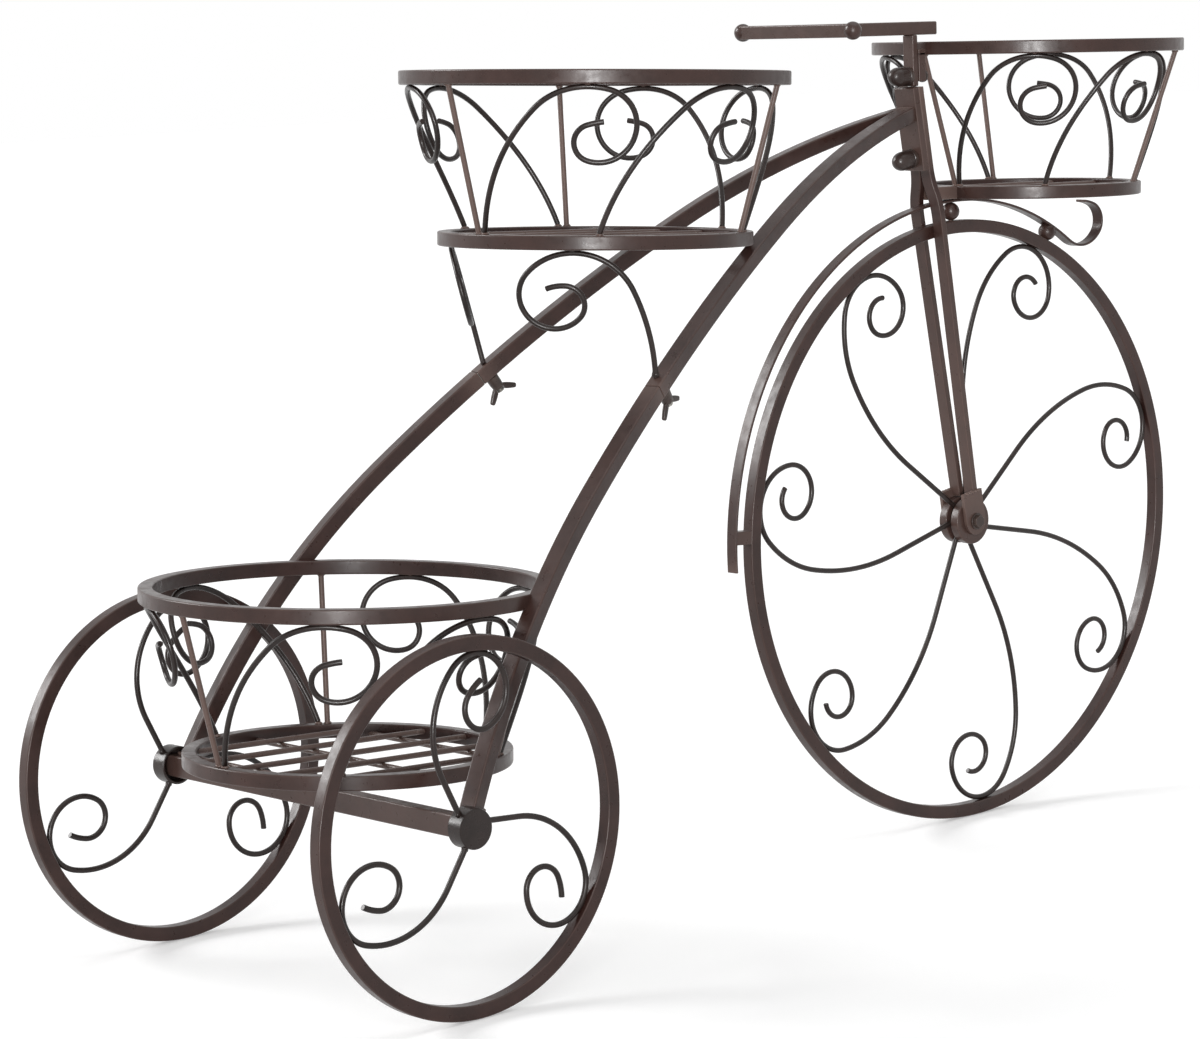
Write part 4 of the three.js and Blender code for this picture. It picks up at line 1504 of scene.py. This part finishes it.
@dataclass(frozen=True)
class Basket:
    """A basket: two rings, three uprights, six scrolls and a floor of wires.

    Attributes:
        name: The start of its nodes' names.
        ahead: How far its middle is ahead of the rear axle.
        top: The height of its top ring's upper face.
        tilt: How far it leans forwards.
        top_radius: The outer radius of the top ring.
        bottom_radius: The outer radius of the bottom ring.
        depth: From the top ring's upper face to the bottom ring's.
        uprights: The uprights' angles.
        beside_gaps: How far the scroll beside each upright is clear of it.
        between: The angles of the other scrolls.
        heading: The direction in which a scroll leaves its foot.
        scroll_shares: A scroll's arcs.
        floor_spacing: From one floor wire to the next.
        floor_drop: From the bottom ring's upper face down to the floor wires' middle.
    """

    name: str
    ahead: float
    top: float
    tilt: float
    top_radius: float
    bottom_radius: float
    depth: float
    uprights: tuple[float, ...] = (60, 180, 300)
    beside_gaps: tuple[float, ...] = (2.5, 2.5, 2.5)
    between: tuple[float, ...] = (110, 230, 350)
    heading: float = 73
    scroll_shares: Shares = BROAD_SCROLL
    floor_spacing: float = 37.5
    floor_drop: float = 3.7

    @property
    def side(self) -> Side:
        """The cone that the wires lie on."""
        return Side(self.bottom_radius - BAR / 2, self.top_radius - BAR / 2, self.depth - BAR)

    @property
    def frame(self) -> Matrix:
        """The frame at the middle of the top ring's upper face."""
        return move(self.ahead, 0, self.top) @ turn("Y", self.tilt)

    @property
    def foot(self) -> Matrix:
        """The frame at the middle of the bottom ring's upper face."""
        return self.frame @ move(0, 0, -self.depth)

    @property
    def scroll_angles(self) -> list[float]:
        """The angle of each scroll, beside and between the uprights in turn.

        Returns:
            The angles.
        """
        angles = []
        for upright, gap, between in zip(self.uprights, self.beside_gaps, self.between):
            beside = math.degrees((2 * WIRE_RADIUS + gap) / (self.bottom_radius - BAR / 2))
            angles += [upright + beside, between]
        return angles

    def scroll_line(self) -> BentLine:
        """Bends a scroll on the flat pattern, so that it reaches the top ring.

        Returns:
            Its line.
        """
        side = self.side
        foot = GAP + WIRE_RADIUS * (math.cos(math.radians(self.heading)) + side.sine)
        return fitted(
            lambda size: BentLine.of(0, foot, self.heading, *bends(self.scroll_shares, size)),
            lambda place: side.rolled(place.point).z,
            side.rise - WIRE_RADIUS + 0.2,
        )

    def rings(self) -> Form:
        """Welds the two rings, the uprights and the floor together.

        Returns:
            The frame of the basket.
        """
        side = self.side
        form = Form().ring(self.top_radius, SQUARE_BAR, 144).placed(self.frame)
        form.take(Form().ring(self.bottom_radius, SQUARE_BAR, 144).placed(self.foot))
        upright = Form().bent(
            BentLine.of(0, -WIRE_RADIUS, 90, Stretch(side.slant + 2 * WIRE_RADIUS)), WIRE
        )
        side.roll(upright)
        for height in (0.4, side.slant - 0.4):
            upright.bead(side.rolled(Vector((0, height, 0))), 1.45 * WIRE_RADIUS, 0.5)
        form.take(*(upright.placed(self.foot @ turn("Z", angle)) for angle in self.uprights))
        return form.take(self._floor().placed(self.foot @ move(0, 0, -self.floor_drop)))

    def _floor(self) -> Form:
        """Lays the floor wires: one layer fore and aft, and fewer crosswise below.

        Returns:
            The floor.
        """
        floor = Form()
        inner = self.bottom_radius - BAR
        count = int((inner - 2 * WIRE_RADIUS) / self.floor_spacing)
        for i in range(-count, count + 1):
            offset = i * self.floor_spacing
            half = math.sqrt((inner + 2 * WIRE_RADIUS) ** 2 - offset**2)
            weld = half - 4.8 * WIRE_RADIUS
            wire = Form().bent(BentLine.of(0, 0, 0, Stretch(2 * half)), WIRE).placed(move(-half, 0, 0))
            wire.bead(Vector((weld, 0, 0)), 1.3 * WIRE_RADIUS, 0.8)
            wire.bead(Vector((-weld, 0, 0)), 1.3 * WIRE_RADIUS, 0.8)
            if i % 2 == 0:
                low = move(offset, 0, -1.8 * WIRE_RADIUS) @ turn("Z", 90)
                floor.take(wire.placed(low))
            floor.take(wire.placed(move(0, offset, 0)))
        return floor

    def build(self, workshop: Workshop) -> None:
        """Builds the frame and the scrolls.

        Args:
            workshop: Where the pieces are made.
        """
        side, line = self.side, self.scroll_line()
        places = [side.rolled(place.point) for place in line.places(1.0)]
        peak = max(places, key=lambda point: point.z) + Vector((0, 0, WIRE_RADIUS))
        scroll = side.roll(Form().bent(line, WIRE))
        frame = self.rings()
        for i, angle in enumerate(self.scroll_angles):
            spun = self.foot @ turn("Z", angle)
            workshop.add(f"{self.name}_scroll_{i + 1}", Finish.WIRE, scroll.placed(spun))
            frame.bead(spun @ side.rolled(Vector((0, 0.3, 0))), 1.55 * WIRE_RADIUS, 0.5)
            frame.bead(spun @ peak, 1.25 * WIRE_RADIUS, 0.4)
        workshop.add(f"{self.name}_frame", Finish.BAR, frame)


@dataclass(frozen=True)
class FrontBasket(Basket):
    """The basket in front of the handlebar, with the two lugs that carry it."""

    fork: Fork | None = None
    lug_grip: float = 7.2
    lug_width: float = 12
    lug_height: float = 22

    def rings(self) -> Form:
        """Welds the lugs to the rings.

        Returns:
            The frame of the basket with its lugs.
        """
        fork = self.fork
        front = fork.top.x + fork.face
        middle, hook = self.top - BAR / 2, self.lug_grip + BAR / 2
        lug = Form().block(hook, self.lug_width, BAR / 2, 0.7).placed(move(front + hook / 2, 0, middle))
        lug.take(Form().block(self.lug_grip, self.lug_width, self.lug_height, 0.7).placed(
            move(front + self.lug_grip / 2, 0, middle - self.lug_height / 2)
        ))
        reach = self.bottom_radius
        bracket = Form().block(reach, self.lug_width, BAR, 0.8).placed(
            self.foot @ move(BAR / 2 - 1.5 * reach, 0, -BAR / 2)
        )
        bracket.cut(fork.frame @ Vector((0, 0, fork.face)), fork.frame.to_3x3() @ Vector((0, 0, -1)))
        return super().rings().take(lug, bracket)


@dataclass(frozen=True)
class ScrollLegs:
    """The two scrolled wires that carry the back of the middle basket on the rails."""

    basket: Basket
    rails: Rails
    angle: float = 219.8
    inset: float = 9.5
    rise: float = 81.5
    heading: float = 92.3
    lead: float = 16
    bend_shares: Shares = ((1.92, 21.2), (0.543, 114), (0.293, 182.5), (0.167, 126.3), (0.377, 26.2))

    def line(self, sign: int) -> BentLine:
        """Bends a leg so that its highest point is just under the basket.

        Args:
            sign: 1 on the left and -1 on the right.

        Returns:
            Its line, in the plane that leans with the basket's side.
        """
        heading = 90 - sign * (self.heading - 90)
        stretches = Stretch(self.lead + OVERRUN), *bends(self.bend_shares, self.rise, -sign)
        peak = max(BentLine.of(0, 0, heading, *stretches).places(1), key=lambda place: place.y)
        return BentLine.of(-peak.x, -peak.y - WIRE_RADIUS / self.basket.side.cosine, heading, *stretches)

    def build(self, workshop: Workshop) -> None:
        """Builds the legs from the rails up.

        Args:
            workshop: Where the pieces are made.
        """
        basket = self.basket
        lean = math.degrees(math.asin(basket.side.sine))
        contact = basket.bottom_radius - self.inset
        for name, sign in SIDES:
            plane = chained(
                basket.frame, turn("Z", sign * (360 - self.angle)), move(contact, 0, -basket.depth - BAR),
                turn("Z", 90), turn("X", 90 + lean),
            )
            line = self._clear_part(self.line(sign), plane, sign)
            leg = Form().bent(line, WIRE)
            leg.bead(line.at(WIRE_RADIUS).point, 1.5 * WIRE_RADIUS)
            leg.bead(Vector((0, -0.3 * WIRE_RADIUS, 0)), 1.4 * WIRE_RADIUS, 0.6)
            workshop.add(f"scroll_leg_{name}", Finish.WIRE, leg.placed(plane))

    def _clear_part(self, line: BentLine, plane: Matrix, sign: int) -> BentLine:
        """Takes the longest part of a leg's line that lies outside the rail.

        Args:
            line: The line.
            plane: The frame of its plane.
            sign: 1 on the left and -1 on the right.

        Returns:
            The part, which starts just inside the rail.
        """
        last = 0.0
        best = (0.0, 0.0)
        for i in range(int(line.length) + 1):
            if self.rails.holds(plane @ line.at(i).point, sign):
                last = float(i)
            best = max(best, (i - last, last))
        return line.part(best[1], best[1] + best[0] + line.length - int(line.length))


@dataclass(frozen=True)
class Lamp:
    """A soft lamp, far enough away to light everything alike.

    Attributes:
        name: Its name.
        towards: The direction in which it hangs.
        strength: How bright it is.
        width: How wide it looks from here, in degrees.
    """

    name: str
    towards: tuple[float, float, float]
    strength: float
    width: float

    def build(self) -> None:
        """Hangs the lamp."""
        light = bpy.data.lights.new(self.name, "SUN")
        light.energy = self.strength
        light.angle = math.radians(self.width)
        lamp = bpy.data.objects.new(self.name, light)
        lamp.rotation_euler = Vector(self.towards).to_track_quat("Z", "Y").to_euler()
        bpy.context.scene.collection.objects.link(lamp)


@dataclass(frozen=True)
class Viewpoint:
    """A camera, in metres and degrees, and in the pixels of its image.

    Attributes:
        place: Where it is.
        yaw: From +Y towards +X.
        pitch: Upwards.
        roll: Round its own axis.
        focal: The focal length.
        centre: The principal point.
        image: The image's width and height.
    """

    place: tuple[float, float, float] = (-1.8945, -2.0330, 0.6560)
    yaw: float = 42.6253
    pitch: float = -7.7069
    roll: float = -1.9609
    focal: float = 3823.43
    centre: tuple[float, float] = (690.59, 502.58)
    image: tuple[float, float] = (1200, 1039)

    def build(self) -> None:
        """Places the camera and makes it the scene's."""
        data = bpy.data.cameras.new("camera")
        data.sensor_width = 36
        data.sensor_fit = "HORIZONTAL"
        data.lens = self.focal / self.image[0] * data.sensor_width
        data.shift_x = (self.image[0] / 2 - self.centre[0]) / self.image[0]
        data.shift_y = (self.centre[1] - self.image[1] / 2) / self.image[0]
        camera = bpy.data.objects.new("camera", data)
        camera.matrix_world = chained(
            move(*self.place), turn("Z", -self.yaw), turn("X", 90 + self.pitch), turn("Z", self.roll)
        )
        bpy.context.scene.collection.objects.link(camera)
        bpy.context.scene.camera = camera


@dataclass(frozen=True)
class Studio:
    """The pale floor, the soft light and the camera."""

    lamps: tuple[Lamp, ...] = (
        Lamp("left key", (-0.5, 0.73, 0.44), 2.5, 26),
        Lamp("front fill", (-0.62, -0.66, 0.42), 0.85, 26),
        Lamp("low front", (-0.677, -0.736, 0.05), 2.4, 9),
        Lamp("overhead", (0.15, -0.1, 1.0), 0.9, 60),
    )
    camera: Viewpoint = Viewpoint()
    sky: float = 0.22
    floor_reach: float = 14
    floor_colour: float = 0.8
    floor_glow: float = 0.32

    def build(self) -> None:
        """Sets everything up."""
        self._floor()
        self._world()
        for lamp in self.lamps:
            lamp.build()
        self.camera.build()
        bpy.context.scene.view_settings.view_transform = "Standard"

    def _floor(self) -> None:
        """Lays the floor, which looks white to the camera wherever no shadow falls."""
        mesh = bmesh.new()
        bmesh.ops.create_grid(
            mesh, x_segments=1, y_segments=1, size=self.floor_reach, matrix=move(0, 0, -METRES / 2)
        )
        data = bpy.data.meshes.new("floor")
        mesh.to_mesh(data)
        mesh.free()
        material = bpy.data.materials.new("pale floor")
        material.use_nodes = True
        shader = material.node_tree.nodes["Principled BSDF"]
        shader.inputs["Base Color"].default_value = (*[self.floor_colour] * 3, 1)
        shader.inputs["Roughness"].default_value = 0.9
        shader.inputs["Specular IOR Level"].default_value = 0.1
        shader.inputs["Emission Color"].default_value = (1, 1, 1, 1)
        bench = Bench(material.node_tree)
        glow = bench.spread(bench.seen_directly(), (0, 1), (0, self.floor_glow))
        bench.link(glow, shader.inputs["Emission Strength"])
        data.materials.append(material)
        floor = bpy.data.objects.new("floor", data)
        bpy.context.scene.collection.objects.link(floor)
        floor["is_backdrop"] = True

    def _world(self) -> None:
        """Surrounds everything with white, which lights it only softly."""
        world = bpy.data.worlds.new("studio")
        world.use_nodes = True
        background = world.node_tree.nodes["Background"]
        background.inputs["Color"].default_value = (1, 1, 1, 1)
        bench = Bench(world.node_tree)
        strength = bench.spread(bench.seen_directly(), (0, 1), (self.sky, 1))
        bench.link(strength, background.inputs["Strength"])
        bpy.context.scene.world = world


def bounds() -> list[list[float]]:
    """Measures the whole object.

    Returns:
        Its lowest and its highest corner, in metres.
    """
    bpy.context.view_layer.update()
    return [[float(value) for value in corner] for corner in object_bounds()]


def main() -> None:
    """Builds the studio and then the planter, one sub-assembly after another."""
    logging.basicConfig(level=logging.INFO, format="%(name)s: %(message)s")
    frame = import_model()
    cad = bounds()
    Studio().build()

    rear, front = RearWheels(), FrontWheel()
    fender = Fender(front)
    fork = Fork(front, fender)
    front_basket = FrontBasket(
        "front_basket", 727.696, 604.298, 1.32, 121.9, 88.3, 110.8, uprights=(61.7, 180, 300),
        beside_gaps=(0.3, 0.4, 1.1), between=(110, 231, 351.3), heading=79, scroll_shares=FRONT_SCROLL,
        fork=fork,
    )
    rear_basket = Basket("rear_basket", 34.988, 264.5, 2.67, 139.7, 111.9, 112.5)
    middle_basket = Basket("middle_basket", 275.226, 598.404, 2.65, 138.4, 111.9, 112.5)
    head = Head(fork, front_basket.lug_grip)
    rails = Rails(rear, fork, head)
    legs = ScrollLegs(middle_basket, rails)

    middle_of_length = (front.wheelbase + front.wheel.radius - rear.wheel.radius) / 2
    workshop = Workshop(frame, -middle_of_length)
    for part in (rear, front, fender, fork, head, rails, rear_basket, middle_basket, front_basket, legs):
        LOG.info("building %s", type(part).__name__)
        part.build(workshop)

    {"cad": cad, "visual": bounds()}


if __name__ == "__main__":
    main()
